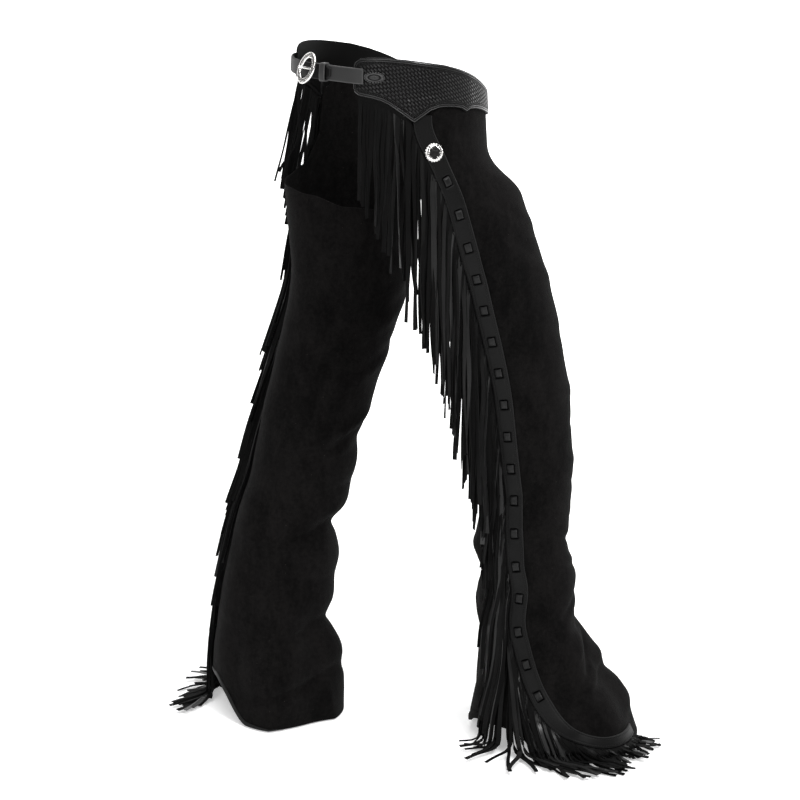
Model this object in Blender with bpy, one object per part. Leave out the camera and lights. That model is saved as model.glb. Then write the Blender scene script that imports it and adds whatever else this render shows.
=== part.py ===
"""Fringed suede chaps with stamped leather yokes, worn and walking, hollow.

Metres, +Z up. The origin is the middle of the waist ring, where the wearer holds the
chaps up. Front is -Y and the wearer's right is -X. Each leg is one suede panel closed
round the leg, open at the top under the seat and at the hem.
"""

import math

import bmesh
import bpy
from mathutils import Vector

# Driving sizes
FLOOR = -1.057
WAIST_HALF_WIDTH = 0.172
WAIST_FRONT_DEPTH = 0.138
WAIST_BACK_DEPTH = 0.149
HIP_SPREAD = 0.06
SEAM_GAP = 0.0003
FACET_GAP = 0.0010
TRIM_GAP = 0.0008
SUEDE = 0.002
YOKE_LEATHER = 0.0035
TRIM_LEATHER = 0.0025
STRAP_LEATHER = 0.0025
STRAP_WIDTH = 0.023
STRAP_HEIGHT = 0.034
OUTSEAM_WIDTH = 0.028
YOKE_LAP = 0.014
HEM_CLEAR = 0.002
MIDDLE_CLEAR = 0.009

# Leg sections, in millimetres: height, centre x away from the middle, centre y,
# half width across, half depth front to back
RIGHT_SECTIONS = (
    # height, across, forward, half_width, half_depth
    (60, 89, 18, 84, 132),
    (-30, 90, 18, 84, 132),
    (-100, 92, -11, 88, 132),
    (-150, 95, -42, 90, 125),
    (-200, 98, -69, 92, 115),
    (-250, 100, -96, 92, 105),
    (-300, 101, -120, 90, 98),
    (-400, 103, -153, 84, 92),
    (-500, 105, -175, 79, 86),
    (-600, 107, -186, 78, 80),
    (-650, 108, -189, 78, 76),
    (-700, 109, -186, 80, 75),
    (-750, 111, -185, 84, 77),
    (-800, 113, -192, 88, 77),
    (-850, 117, -186, 94, 80),
    (-900, 125, -194, 104, 88),
    (-950, 138, -204, 118, 104),
    (-1000, 156, -213, 138, 120),
    (-1060, 172, -224, 154, 128),
)
LEFT_SECTIONS = (
    # height, across, forward, half_width, half_depth
    (60, 89, 18, 84, 132),
    (-30, 90, 18, 84, 132),
    (-100, 92, 16, 88, 128),
    (-150, 95, 18, 90, 121),
    (-200, 98, 22, 92, 112),
    (-250, 100, 25, 92, 104),
    (-300, 101, 27, 90, 99),
    (-350, 102, 32, 88, 97),
    (-400, 103, 46, 86, 95),
    (-500, 105, 76, 82, 94),
    (-600, 107, 106, 80, 86),
    (-650, 108, 116, 80, 86),
    (-700, 109, 132, 82, 86),
    (-750, 110, 146, 85, 87),
    (-800, 112, 153, 89, 91),
    (-850, 114, 162, 94, 92),
    (-900, 116, 166, 101, 94),
    (-950, 117, 165, 112, 101),
    (-1000, 116, 162, 123, 106),
    (-1060, 115, 160, 130, 105),
)

# Height of each panel's top edge in millimetres, by angle from the outer side in
# degrees, back positive. UNDER marks where the edge runs hidden behind the yoke.
UNDER = None
RIGHT_TOP = (
    # angle, height
    (-180, -205), (-168, -185), (-155, -120), (-142, -72), (-125, UNDER), (21, UNDER),
    (26.5, -115), (38, -195), (60, -240), (90, -268), (115, -275), (150, -240), (180, -205),
)
LEFT_TOP = (
    # angle, height
    (-180, -196), (-168, -180), (-155, -120), (-142, -72), (-125, UNDER), (21, UNDER),
    (26.5, -95), (38, -142), (60, -156), (90, -164), (115, -172), (150, -190), (180, -196),
)

# Break folds: height mm, angle degrees, half height mm, half width degrees,
# depth mm (trough negative), climb in mm for each degree round
RIGHT_FOLDS = (
    # height, angle, half_height, half_width, depth, climb
    (-746, -100, 22, 60, -8, 0.10),
    (-805, -95, 26, 50, 3, 0.10),
    (-866, -95, 18, 60, -6, -0.15),
    (-918, -90, 24, 52, 5, -0.20),
    (-950, -98, 15, 56, -9, -0.25),
    (-990, -78, 24, 48, 6, -0.20),
    (-700, 110, 30, 38, -5, 0.25),
    (-800, 118, 30, 40, -6, 0.30),
    (-890, 125, 30, 40, -7, 0.30),
    (-960, -10, 80, 13, 7, 0.0),
    (-970, -42, 80, 13, -8, 0.0),
    (-970, -68, 80, 12, 6, 0.0),
    (-960, 85, 90, 16, 8, 0.0),
    (-960, 125, 90, 16, -9, 0.0),
    (-960, 160, 90, 16, 8, 0.0),
    (-960, -150, 90, 18, -8, 0.0),
    (-430, -100, 40, 50, -3, 0.15),
    (-330, -120, 40, 45, -4, 0.35),
    (-560, 115, 34, 45, -5, 0.2),
)
LEFT_FOLDS = (
    # height, angle, half_height, half_width, depth, climb
    (-585, -118, 20, 60, -6, 0.25),
    (-632, -115, 26, 55, 3, 0.2),
    (-727, -118, 17, 62, -13, -0.2),
    (-690, -110, 20, 55, 4, 0.0),
    (-785, -112, 28, 50, 6, -0.15),
    (-891, -118, 18, 60, -11, -0.2),
    (-848, -115, 24, 45, 4, 0.0),
    (-945, -112, 26, 50, 6, -0.1),
    (-500, -130, 34, 45, -5, 0.3),
    (-500, 110, 36, 48, -5, -0.3),
    (-600, 112, 34, 45, -5, -0.25),
    (-690, 115, 30, 45, 4, -0.2),
    (-780, 120, 30, 42, -6, -0.2),
    (-950, 165, 90, 16, 8, 0.0),
    (-950, -162, 90, 14, -9, 0.0),
    (-960, -128, 80, 13, 8, 0.0),
    (-960, 118, 90, 16, -8, 0.0),
    (-960, -60, 90, 16, -7, 0.0),
    (-960, -15, 80, 14, 6, 0.0),
)

# Centre line of the outseam strip: height mm, angle degrees behind the outer side
RIGHT_OUTSEAM = ((40, 4), (-60, 8), (-100, 9), (-150, 15), (-200, 22), (-250, 29), (-300, 34.5),
                 (-350, 38), (-450, 41), (-550, 43), (-650, 41), (-750, 36), (-850, 35),
                 (-930, 33), (-980, 26), (-1010, 12), (-1024, -6), (-1029, -24))
LEFT_OUTSEAM = ((40, 4), (-60, 8), (-100, 9), (-150, 15), (-200, 21), (-250, 26), (-300, 30),
                (-350, 32), (-450, 35), (-550, 37), (-650, 38), (-750, 38), (-850, 36),
                (-930, 33), (-980, 26), (-1010, 12), (-1024, -6), (-1029, -24))

# Yoke edges: angle degrees behind the outer side, top mm, bottom mm
YOKE = (
    # angle, top, bottom
    (49.5, 46, 14), (48.5, 53, 7), (46.3, 57, 3), (42.0, 59, 1), (37.8, 59.5, -1), (33.6, 59.5, -4),
    (29.0, 59, -10), (24.7, 58, -18), (20.0, 57, -27), (15.7, 55.5, -35), (11.5, 54, -27),
    (6.5, 52, -18), (2.0, 50, -14.5), (-3.0, 48, -14), (-9.0, 44, -15), (-15.0, 40, -18),
    (-19.5, 36, -24), (-23.0, 33, -21), (-29.0, 27, -22), (-35.0, 20, -25), (-42.0, 12, -30),
    (-49.0, 5, -35), (-56.0, -2, -40), (-64.0, -8, -44), (-72.0, -12, -47), (-79.0, -15, -49),
    (-84.0, -17, -49), (-86.0, -21, -46),
)
YOKE_ROWS = 4

# Mesh fineness
ROUND_STEPS = 28
STEEP_ANGLES = (21.0, 26.5)
HIGH_ROWS = 6
LOW_FROM = -0.52
FOLDS_FROM = -0.67
FOLDS_TO = -0.97
SHIN_ROWS, FOLD_ROWS, HEM_ROWS = 3, 13, 3

# Fringe; the lean back and the spread on the floor are by side, right -1 and left 1
FRINGE_PITCH = 0.0132
FRINGE_LENGTH = 0.287
FRINGE_WAVE = 0.012
FRINGE_LEAN = {-1: 0.075, 1: 0.055}
FLOOR_SPREAD = {-1: 0.045, 1: 0.072}
HEM_REACH = 0.068
YOKE_RUN = (46.0, 17.5)
YOKE_STATIONS = 33
YOKE_FIRST = 0.150
YOKE_GROWTH = 0.0160
ROOT_DROP = 0.0085
STRAND_SHARES = (0.0, 0.2, 0.4, 0.6, 0.8, 1.0)
YOKE_SHARES = (0.0, 0.25, 0.5, 0.75, 1.0)
TRACK_STEP = 0.006
FRINGE_THICK = 0.0013
FRINGE_WIDE = 0.0044
LAYER_STEP = 0.0056
BAND_WIDTH = 0.005
BAND_THICK = 0.002
STRIP_CLEAR = 0.0078
STRAND_STRAIGHT = 0.0011
HEM_FLARE = 0.0022

# Lace windows down the outseam
LACE_COUNT = 17
LACE_FIRST = 0.108
LACE_PITCH = 0.0545
LACE_TALL = 0.017
LACE_RISE = 0.0014
STRIP_TOP = -0.024
HEM_STRIP_STEP = 0.013
STRIP_SAMPLES = 700
STRIP_COLUMNS = (-0.5, -0.25, 0.25, 0.5)

MATERIALS = {
    # colour, roughness, metallic
    "suede": ((0.016, 0.014, 0.017, 1), 0.95, 0.0),
    "yoke_leather": ((0.018, 0.018, 0.020, 1), 0.38, 0.0),
    "trim_leather": ((0.020, 0.020, 0.022, 1), 0.45, 0.0),
    "fringe_leather": ((0.020, 0.018, 0.022, 1), 0.7, 0.0),
    "silver": ((0.75, 0.74, 0.72, 1), 0.25, 1.0),
}


def clear_scene():
    for old in list(bpy.data.objects):
        bpy.data.objects.remove(old, do_unlink=True)


def material(name):
    found = bpy.data.materials.get(name)
    if found:
        return found
    colour, roughness, metallic = MATERIALS[name]
    made = bpy.data.materials.new(name)
    made.use_nodes = True
    shader = made.node_tree.nodes["Principled BSDF"]
    shader.inputs["Base Color"].default_value = colour
    shader.inputs["Roughness"].default_value = roughness
    shader.inputs["Metallic"].default_value = metallic
    return made


def add_object(name, points, faces, finish):
    """One closed mesh object with its faces turned outwards."""
    mesh = bpy.data.meshes.new(name)
    mesh.from_pydata([tuple(p) for p in points], [], faces)
    form = bmesh.new()
    form.from_mesh(mesh)
    bmesh.ops.remove_doubles(form, verts=form.verts, dist=1e-6)
    bmesh.ops.recalc_face_normals(form, faces=form.faces)
    if form.calc_volume(signed=True) < 0:
        bmesh.ops.reverse_faces(form, faces=form.faces)
    form.to_mesh(mesh)
    form.free()
    mesh.shade_smooth()
    mesh.set_sharp_from_angle(angle=math.radians(40))
    made = bpy.data.objects.new(name, mesh)
    made.data.materials.append(material(finish))
    bpy.context.collection.objects.link(made)
    return made


def along(table, column, at):
    """A smooth value from a table whose first column falls or rises steadily."""
    rows = sorted(table)
    at = min(max(at, rows[0][0]), rows[-1][0])
    k = 0
    while k < len(rows) - 2 and at > rows[k + 1][0]:
        k += 1
    low, high = rows[k], rows[k + 1]
    span = high[0] - low[0]
    share = (at - low[0]) / span

    def slope(i):
        if i <= 0 or i >= len(rows) - 1:
            return (high[column] - low[column]) / span
        before = (rows[i][column] - rows[i - 1][column]) / (rows[i][0] - rows[i - 1][0])
        after = (rows[i + 1][column] - rows[i][column]) / (rows[i + 1][0] - rows[i][0])
        if before * after <= 0:
            return 0.0
        return 2 * before * after / (before + after)

    s2, s3 = share * share, share * share * share
    return (
        (2 * s3 - 3 * s2 + 1) * low[column]
        + (s3 - 2 * s2 + share) * span * slope(k)
        + (3 * s2 - 2 * s3) * high[column]
        + (s3 - s2) * span * slope(k + 1)
    )


def ease(low, high, at):
    share = min(max((at - low) / (high - low), 0), 1)
    return share * share * (3 - 2 * share)


def turn(angle):
    """An angle in degrees brought between -180 and 180."""
    return (angle + 180) % 360 - 180


def waist_point(angle, height, out=0.0, side=-1):
    """A point on the waist ring, by angle behind the outer side, moved out square to the ring."""
    grow = -HIP_SPREAD * height
    half_width = WAIST_HALF_WIDTH + grow
    half_depth = (WAIST_BACK_DEPTH if turn(angle) >= 0 else WAIST_FRONT_DEPTH) + grow
    c, s = math.cos(math.radians(angle)), math.sin(math.radians(angle))
    normal = Vector((side * c / half_width, s / half_depth, 0)).normalized()
    return Vector((side * c * half_width, s * half_depth, height)) + normal * out


class Leg:
    """The outer face of one leg panel: sections, folds and edges."""

    def __init__(self, name, side, sections, top, folds, outseam):
        self.name = name
        self.side = side
        self.rows = sorted(tuple(value / 1000 for value in row) for row in sections)
        self.top = top
        self.folds = folds
        self.outseam = outseam

    def centre(self, height):
        across = along(self.rows, 1, height)
        return Vector((self.side * across, along(self.rows, 2, height), height))

    def direction(self, angle):
        turned = math.radians(angle)
        return Vector((self.side * math.cos(turned), math.sin(turned), 0))

    def section_radius(self, angle, height):
        half_width = along(self.rows, 3, height)
        half_depth = along(self.rows, 4, height)
        turned = math.radians(angle)
        return 1 / math.hypot(math.cos(turned) / half_width, math.sin(turned) / half_depth)

    def waist_radius(self, angle, height):
        """Distance from the leg's centre out to just inside the waist ring."""
        start, way = self.centre(height), self.direction(angle)
        grow = -HIP_SPREAD * height - FACET_GAP
        half_width = WAIST_HALF_WIDTH + grow
        reach = 0.0
        for half_depth in (WAIST_FRONT_DEPTH + grow, WAIST_BACK_DEPTH + grow):
            a = (way.x / half_width) ** 2 + (way.y / half_depth) ** 2
            b = start.x * way.x / half_width**2 + start.y * way.y / half_depth**2
            c = (start.x / half_width) ** 2 + (start.y / half_depth) ** 2 - 1
            found = (-b + math.sqrt(b * b - a * c)) / a
            behind = start.y + way.y * found >= 0
            if behind == (half_depth == WAIST_BACK_DEPTH + grow):
                reach = found
        return reach or found

    def radius(self, angle, height):
        at_waist = ease(-0.165, -0.085, height)
        reach = self.section_radius(angle, height)
        if at_waist > 0:
            reach += at_waist * (self.waist_radius(angle, height) - reach)
        inward = -math.cos(math.radians(angle))
        if inward > 0.05:
            reach = min(reach, (along(self.rows, 1, height) - MIDDLE_CLEAR) / inward)
        for fold_height, fold_angle, tall, wide, depth, climb in self.folds:
            away = turn(angle - fold_angle)
            rise = (height * 1000 - fold_height - climb * away) / tall
            reach += depth / 1000 * math.exp(-rise * rise - (away / wide) ** 2)
        return reach

    def point(self, angle, height, out=0.0):
        here = self.centre(height) + self.direction(angle) * self.radius(angle, height)
        return here + self.normal(angle, height) * out if out else here

    def cut(self):
        """Works out the panel's grid once, for what lies on it."""
        self.angles = ring_angles()
        self.ladders = [self.heights(angle) for angle in self.angles]
        self.grid = [
            [self.point(angle, height) for height in ladder]
            for angle, ladder in zip(self.angles, self.ladders)
        ]

    def on_column(self, j, height):
        ladder, spots = self.ladders[j], self.grid[j]
        height = min(max(height, ladder[0]), ladder[-1])
        k = 0
        while k < len(ladder) - 2 and height > ladder[k + 1]:
            k += 1
        return spots[k].lerp(spots[k + 1], (height - ladder[k]) / (ladder[k + 1] - ladder[k]))

    def facet_point(self, angle, height, out=0.0):
        """The point of the panel's facets at an angle and height, moved out square to the wall."""
        angle = turn(angle)
        count = len(self.angles)
        j = max(k for k in range(count) if self.angles[k] <= angle)
        k = (j + 1) % count
        span = (self.angles[k] - self.angles[j]) % 360
        here, there = self.on_column(j, height), self.on_column(k, height)
        spot = here.lerp(there, (angle - self.angles[j]) / span)
        return spot + self.normal(angle, height) * out if out else spot

    def skin_point(self, angle, height, out=0.0):
        """A point just outside both the curved face and its facets, moved out."""
        centre = self.centre(height)
        spots = self.point(angle, height), self.facet_point(angle, height)
        far = max(spots, key=lambda spot: (spot - centre).xy.length)
        return far + self.normal(angle, height) * out if out else far

    def normal(self, angle, height):
        """The outward direction square to the wall."""
        round_way = self.point(angle + 2, height) - self.point(angle - 2, height)
        up_way = self.point(angle, height + 0.005) - self.point(angle, height - 0.005)
        square = round_way.cross(up_way).normalized()
        return square if square.dot(self.direction(angle)) > 0 else -square

    def top_edge(self, angle):
        angle = turn(angle)
        rows = self.top
        k = 0
        while k < len(rows) - 2 and angle > rows[k + 1][0]:
            k += 1
        ends = []
        for row in (rows[k], rows[k + 1]):
            ends.append(self.under_yoke(row[0]) if row[1] is UNDER else row[1] / 1000)
        if rows[k][1] is UNDER and rows[k + 1][1] is UNDER:
            return self.under_yoke(angle)
        share = (angle - rows[k][0]) / (rows[k + 1][0] - rows[k][0])
        return ends[0] + (ends[1] - ends[0]) * ease(0, 1, share)

    def under_yoke(self, angle):
        """Height of the panel's edge hidden behind the yoke."""
        height = -0.03
        for _ in range(4):
            spot = self.point(angle, height)
            around = waist_angle(spot)
            height = yoke_edge(around, 2) + YOKE_LAP
        return height

    def outseam_angle(self, height):
        rows = sorted((row[0] / 1000, row[1]) for row in self.outseam)
        return along(rows, 1, height)

    def heights(self, angle):
        """Heights of the wall's rows from the hem to the top edge."""
        marks = (FLOOR + HEM_CLEAR, FOLDS_TO, FOLDS_FROM, LOW_FROM, self.top_edge(angle))
        found = []
        for low, high, rows in zip(marks, marks[1:], (HEM_ROWS, FOLD_ROWS, SHIN_ROWS, HIGH_ROWS)):
            found += [low + (high - low) * i / rows for i in range(rows)]
        return found + [marks[-1]]


def waist_angle(spot):
    """Angle behind the outer side on the waist ring, for a point near it."""
    depth = WAIST_BACK_DEPTH if spot.y >= 0 else WAIST_FRONT_DEPTH
    return math.degrees(math.atan2(spot.y / depth, abs(spot.x) / WAIST_HALF_WIDTH))


def yoke_edge(angle, column):
    rows = sorted(YOKE)
    angle = min(max(angle, rows[0][0]), rows[-1][0])
    for low, high in zip(rows, rows[1:]):
        if angle <= high[0]:
            share = (angle - low[0]) / (high[0] - low[0])
            return (low[column] + (high[column] - low[column]) * share) / 1000
    return rows[-1][column] / 1000


def ring_angles():
    """Angles round a leg, closer together at the steep edges of the opening."""
    steps = [-180 + 360 * i / ROUND_STEPS for i in range(ROUND_STEPS)]
    return sorted([*steps, *STEEP_ANGLES])


def wall(name, outer, inner, closed, finish, raised=(), rise=0.0):
    """A wall between two grids of points, rows of equal length; closed joins the row ends.

    The outer faces listed in raised stand out as low blocks.
    """
    rows, columns = len(outer), len(outer[0])
    points = [p for row in outer for p in row] + [p for row in inner for p in row]
    back = rows * columns
    faces = []
    last = columns if closed else columns - 1
    for i in range(rows - 1):
        for j in range(last):
            k = (j + 1) % columns
            a, b, c, d = i * columns + j, i * columns + k, (i + 1) * columns + k, (i + 1) * columns + j
            faces += [(back + d, back + c, back + b, back + a)]
            if (i, j) not in raised:
                faces += [(a, b, c, d)]
                continue
            corners = [points[q] for q in (a, b, c, d)]
            middle = sum(corners, Vector()) / 4
            lift = (points[a] - points[back + a]).normalized() * rise
            new = len(points)
            points += [middle + (corner - middle) * 0.94 + lift for corner in corners]
            faces += [(new, new + 1, new + 2, new + 3)]
            ring = (a, b, c, d)
            faces += [(ring[q], ring[(q + 1) % 4], new + (q + 1) % 4, new + q) for q in range(4)]
    for j in range(last):
        k = (j + 1) % columns
        top = (rows - 1) * columns
        faces += [(j, back + j, back + k, k), (top + k, back + top + k, back + top + j, top + j)]
    if not closed:
        end = columns - 1
        for i in range(rows - 1):
            a, b = i * columns, (i + 1) * columns
            faces += [(a, b, back + b, back + a), (a + end, back + a + end, back + b + end, b + end)]
    return add_object(name, points, faces, finish)


def build_leg(leg):
    outer, inner = [], []
    for i in range(len(leg.ladders[0])):
        outer.append([column[i] for column in leg.grid])
        inner.append([leg.point(a, ladder[i], -SUEDE) for a, ladder in zip(leg.angles, leg.ladders)])
    return wall(leg.name + "_leg", outer, inner, True, "suede")


def strip_lift(leg, angle, height):
    """How far the yoke is lifted where the outseam strip passes under it."""
    seam = waist_angle(leg.point(leg.outseam_angle(height), height))
    away = abs(angle - seam) * math.radians(1) * WAIST_HALF_WIDTH
    return (TRIM_LEATHER + TRIM_GAP + SEAM_GAP) * (1 - ease(0.018, 0.030, away)) * ease(0.012, -0.008, height)


def build_yoke(leg):
    outer, inner = [], []
    angles = []
    table = sorted(YOKE)
    for low, high in zip(table, table[1:]):
        angles += [low[0]]
        if high[0] - low[0] > 5.5:
            angles += [(low[0] + high[0]) / 2]
    angles += [table[-1][0]]
    for row in range(YOKE_ROWS + 1):
        outer.append([])
        inner.append([])
        for angle in angles:
            low, high = yoke_edge(angle, 2), yoke_edge(angle, 1)
            height = low + (high - low) * row / YOKE_ROWS
            lift = strip_lift(leg, angle, height)
            inner[-1].append(waist_point(angle, height, lift, leg.side))
            outer[-1].append(waist_point(angle, height, lift + YOKE_LEATHER, leg.side))
    return wall(leg.name + "_yoke", outer, inner, False, "yoke_leather")


def outseam_track(leg):
    """The strip's line from under the yoke to its end: distance, height and angle."""
    rows = leg.outseam
    table = [(i, row[0] / 1000, row[1]) for i, row in enumerate(rows)]
    track = []
    for i in range(STRIP_SAMPLES + 1):
        place = i / STRIP_SAMPLES * (len(rows) - 1)
        height, angle = along(table, 1, place), along(table, 2, place)
        if height > STRIP_TOP:
            continue
        here = leg.point(angle, height)
        track.append((track[-1][0] + (here - before).length if track else 0.0, height, angle))
        before = here
    return track


def outseam_line(track, distances):
    """Stations on the track at the distances: height and angle."""
    line, k = [], 0
    for distance in distances:
        while k < len(track) - 1 and track[k][0] < distance:
            k += 1
        line.append((track[k][1], track[k][2]))
    return line


def lace_middles():
    return [LACE_FIRST + LACE_PITCH * k for k in range(LACE_COUNT)]


def across_strip(leg, line, k):
    """Directions at a station of the strip: its point, way along it and way to its back edge."""
    here = leg.point(line[k][1], line[k][0])
    ahead = line[min(k + 1, len(line) - 1)]
    behind = line[max(k - 1, 0)]
    way = (leg.point(ahead[1], ahead[0]) - leg.point(behind[1], behind[0])).normalized()
    normal = leg.normal(line[k][1], line[k][0])
    to_back = normal.cross(way).normalized()
    if to_back.dot(Vector((0, 1, 0))) + to_back.dot(Vector((0, 0, -1))) < 0:
        to_back = -to_back
    return here, way, to_back


def on_wall(leg, spot, out):
    """The point of the panel's face level with a point near it, moved out."""
    centre = leg.centre(spot.z)
    flat = spot - centre
    angle = math.degrees(math.atan2(flat.y, leg.side * flat.x))
    return leg.skin_point(angle, spot.z, out)


def build_outseam(leg):
    """The strip over the outseam, its lace squares raised from it."""
    track = outseam_track(leg)
    distances = [0.0, 0.030, 0.065]
    squares = []
    for middle in lace_middles():
        squares.append(len(distances))
        distances += [middle - LACE_TALL / 2, middle + LACE_TALL / 2]
    end = track[-1][0]
    extra = int((end - distances[-1]) / HEM_STRIP_STEP)
    first = distances[-1]
    distances += [first + (end - first) * (i + 1) / extra for i in range(extra)]
    line = outseam_line(track, distances)
    outer, inner = [], []
    for k in range(len(line)):
        here, _, to_back = across_strip(leg, line, k)
        rows = [], []
        for share in STRIP_COLUMNS:
            spot = here + to_back * OUTSEAM_WIDTH * share
            rows[0].append(on_wall(leg, spot, TRIM_GAP + TRIM_LEATHER))
            rows[1].append(on_wall(leg, spot, TRIM_GAP))
        outer.append(rows[0])
        inner.append(rows[1])
    raised = {(row, 1) for row in squares}
    return wall(leg.name + "_outseam_strip", outer, inner, False, "trim_leather", raised, LACE_RISE)


def fringe_stations(leg):
    """The seam that the fringe hangs from: points, outward and backward ways, two for each strand.

    It runs from the yoke's back end along its lower edge, then down behind the strip
    and forward along the hem.
    """
    seam = []
    half = OUTSEAM_WIDTH / 2 + SEAM_GAP + 0.0021
    for i in range(YOKE_STATIONS):
        angle = YOKE_RUN[0] + (YOKE_RUN[1] - YOKE_RUN[0]) * i / (YOKE_STATIONS - 1)
        height = yoke_edge(angle, 2) - SEAM_GAP - 0.0007
        spot = waist_point(angle, height, 0.0012, leg.side)
        ahead = waist_point(angle - 1, height, 0.0012, leg.side)
        out = (waist_point(angle, height, 0.01, leg.side) - spot).normalized()
        seam.append((spot, out, (ahead - spot).normalized(), Vector((0, 0, -1)), "yoke"))
    track = outseam_track(leg)
    count = int(track[-1][0] / TRACK_STEP)
    line = outseam_line(track, [TRACK_STEP * i for i in range(count)])
    for k in range(len(line)):
        here, _, to_back = across_strip(leg, line, k)
        if here.z > yoke_edge(YOKE_RUN[1], 2) - 0.012:
            continue
        spot = here + to_back * half
        if spot.z < FLOOR + 0.012:
            spot.z = FLOOR + 0.012
        centre = leg.centre(spot.z)
        flat = spot - centre
        angle = math.degrees(math.atan2(flat.y, leg.side * flat.x))
        out_of_wall = TRIM_GAP + BAND_THICK / 2 + (HEM_FLARE if to_back.z < -0.75 else 0)
        seated = leg.skin_point(angle, spot.z, out_of_wall)
        out = leg.normal(angle, spot.z)
        out.z = 0
        out.normalize()
        forward = Vector((0, 0, 1)).cross(out) * leg.side
        if forward.y > 0 and abs(angle) < 100:
            forward = -forward
        place = "hem" if to_back.z < -0.75 else "strip"
        seam.append((seated, out, forward, to_back, place))
    stations = []
    travelled = FRINGE_PITCH
    before = seam[0][0]
    for row in seam:
        travelled += (row[0] - before).length
        before = row[0]
        if travelled >= FRINGE_PITCH / 2:
            stations.append(row)
            travelled = 0.0
    return stations[: len(stations) // 2 * 2]


def strand_rings(leg, row, index, total):
    """Centres and half sizes down one strand: (centre, half along, half out)."""
    spot, out, forward, free, place = row
    wave = math.sin(index * 2.4) + 0.6 * math.sin(index * 5.1 + 1)
    layer = index % 2
    if place == "yoke":
        length = YOKE_FIRST + YOKE_GROWTH * index + FRINGE_WAVE / 2 * wave
        centre = spot + Vector((0, 0, -0.010)) + out * 0.001
        tip = spot + Vector((0, 0, -length)) + out * (0.004 + 0.004 * layer)
        rings = []
        for share in YOKE_SHARES:
            here = centre.lerp(tip, share)
            here = clear_of_wall(leg, here, STRIP_CLEAR) if share else here
            rings.append((here, forward * 0.0024, out * 0.0008))
        return needed_rings(rings)
    length = FRINGE_LENGTH + FRINGE_WAVE * wave
    if place == "hem":
        way = (out + forward * 0.4).normalized()
        side_way = Vector((0, 0, 1)).cross(way)
        if side_way.dot(forward) < 0:
            side_way = -side_way
        near = spot + way * 0.012
        near.z = FLOOR + 0.0046
        near = clear_of_wall(leg, near, 0.006)
        far = spot + way * (HEM_REACH + FRINGE_WAVE * wave)
        far.z = FLOOR + 0.0016
        lift = Vector((0, 0, 1)) * 0.0008
        return [(near, side_way * 0.0026, lift + way * 0.0002), (far, side_way * 0.0024, lift)]
    clear = 0.0028 + FRINGE_WIDE / 2 + LAYER_STEP * layer
    half_along = forward * FRINGE_THICK / 2
    start = spot + free * (BAND_WIDTH / 2 + 0.0030)
    reach = min(length, start.z - (FLOOR + 0.012))
    rings = []
    for share in STRAND_SHARES:
        drop = ROOT_DROP + (reach - ROOT_DROP) * share
        height = start.z - drop
        level = strip_edge(leg, height)
        behind = max(start.y, level.y + (start - spot).y + FRINGE_LEAN[leg.side] * drop)
        here = Vector((start.x, behind, height))
        rings.append((clear_of_wall(leg, here, clear), half_along, out * FRINGE_WIDE / 2))
    rings = needed_rings(rings)
    if length - reach > 0.02:
        here = rings[-1][0]
        spread = min(length - reach, FLOOR_SPREAD[leg.side] + FRINGE_WAVE / 2 * wave)
        outward = 0.9 if leg.side < 0 else 0.35
        way = (out * outward - forward * (0.1 + 1.1 * (total - index) / total)).normalized()
        across = Vector((-way.y, way.x, 0))
        if across.dot(forward) < 0:
            across = -across
        far = here + way * spread
        far.z = FLOOR + 0.002 + 0.003 * layer
        rings.append((far, across * 0.0012, Vector((0, 0, 0.0008)) + way * 0.0005))
    return rings


def needed_rings(rings):
    """The rings without those that lie on the straight line between their neighbours."""
    first, last = rings[0], rings[-1]
    worst, where = 0.0, 0
    for k in range(1, len(rings) - 1):
        share = k / (len(rings) - 1)
        off = (first[0].lerp(last[0], share) - rings[k][0]).length
        if off > worst:
            worst, where = off, k
    if worst < STRAND_STRAIGHT:
        return [first, last]
    return needed_rings(rings[: where + 1])[:-1] + needed_rings(rings[where:])


def strip_edge(leg, height):
    """The back edge of the outseam strip at a height."""
    height = max(height, -1.0)
    angle = leg.outseam_angle(height)
    behind = OUTSEAM_WIDTH / 2 + SEAM_GAP
    return leg.point(angle, height) + leg.normal(angle, height).cross(Vector((0, 0, -leg.side))) * behind


def clear_of_wall(leg, spot, gap):
    """The spot, moved outwards to stand at least the gap off the panel."""
    centre = leg.centre(spot.z)
    flat = spot - centre
    angle = math.degrees(math.atan2(flat.y, leg.side * flat.x))
    if spot.z > leg.top_edge(angle) + 0.06:
        return spot
    need = (leg.skin_point(angle, spot.z) - centre).xy.length + gap
    if flat.length >= need:
        return spot
    moved = centre + flat.normalized() * need
    return Vector((moved.x, moved.y, spot.z))


def build_fringe(leg):
    """One band along the seam with every strand drawn out of its free face."""
    stations = fringe_stations(leg)
    points, faces = [], []
    total = len(stations) // 2
    for spot, out, _, free, place in stations:
        seam_side = spot - free * 0.001
        points += [spot + free * BAND_WIDTH / 2 + out * BAND_THICK / 2]
        points += [spot + free * BAND_WIDTH / 2 - out * BAND_THICK / 2]
        points += [seam_side]
    for k in range(len(stations) - 1):
        a, b = 3 * k, 3 * (k + 1)
        faces += [(a + 1, a + 2, b + 2, b + 1), (a + 2, a, b, b + 2)]
        if k % 2:
            faces += [(a, a + 1, b + 1, b)]
    end = 3 * (len(stations) - 1)
    faces += [(2, 1, 0), (end, end + 1, end + 2)]
    for index in range(total):
        a, b = 6 * index, 6 * index + 3
        ring = [a, a + 1, b + 1, b]
        for centre, half_along, half_out in strand_rings(leg, stations[2 * index], index, total):
            new = len(points)
            points += [centre - half_along + half_out, centre - half_along - half_out]
            points += [centre + half_along - half_out, centre + half_along + half_out]
            for j in range(4):
                k = (j + 1) % 4
                faces += [(ring[j], ring[k], new + k, new + j)]
            ring = [new, new + 1, new + 2, new + 3]
        faces += [tuple(ring)]
    return add_object(leg.name + "_fringe", points, faces, "fringe_leather")


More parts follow.
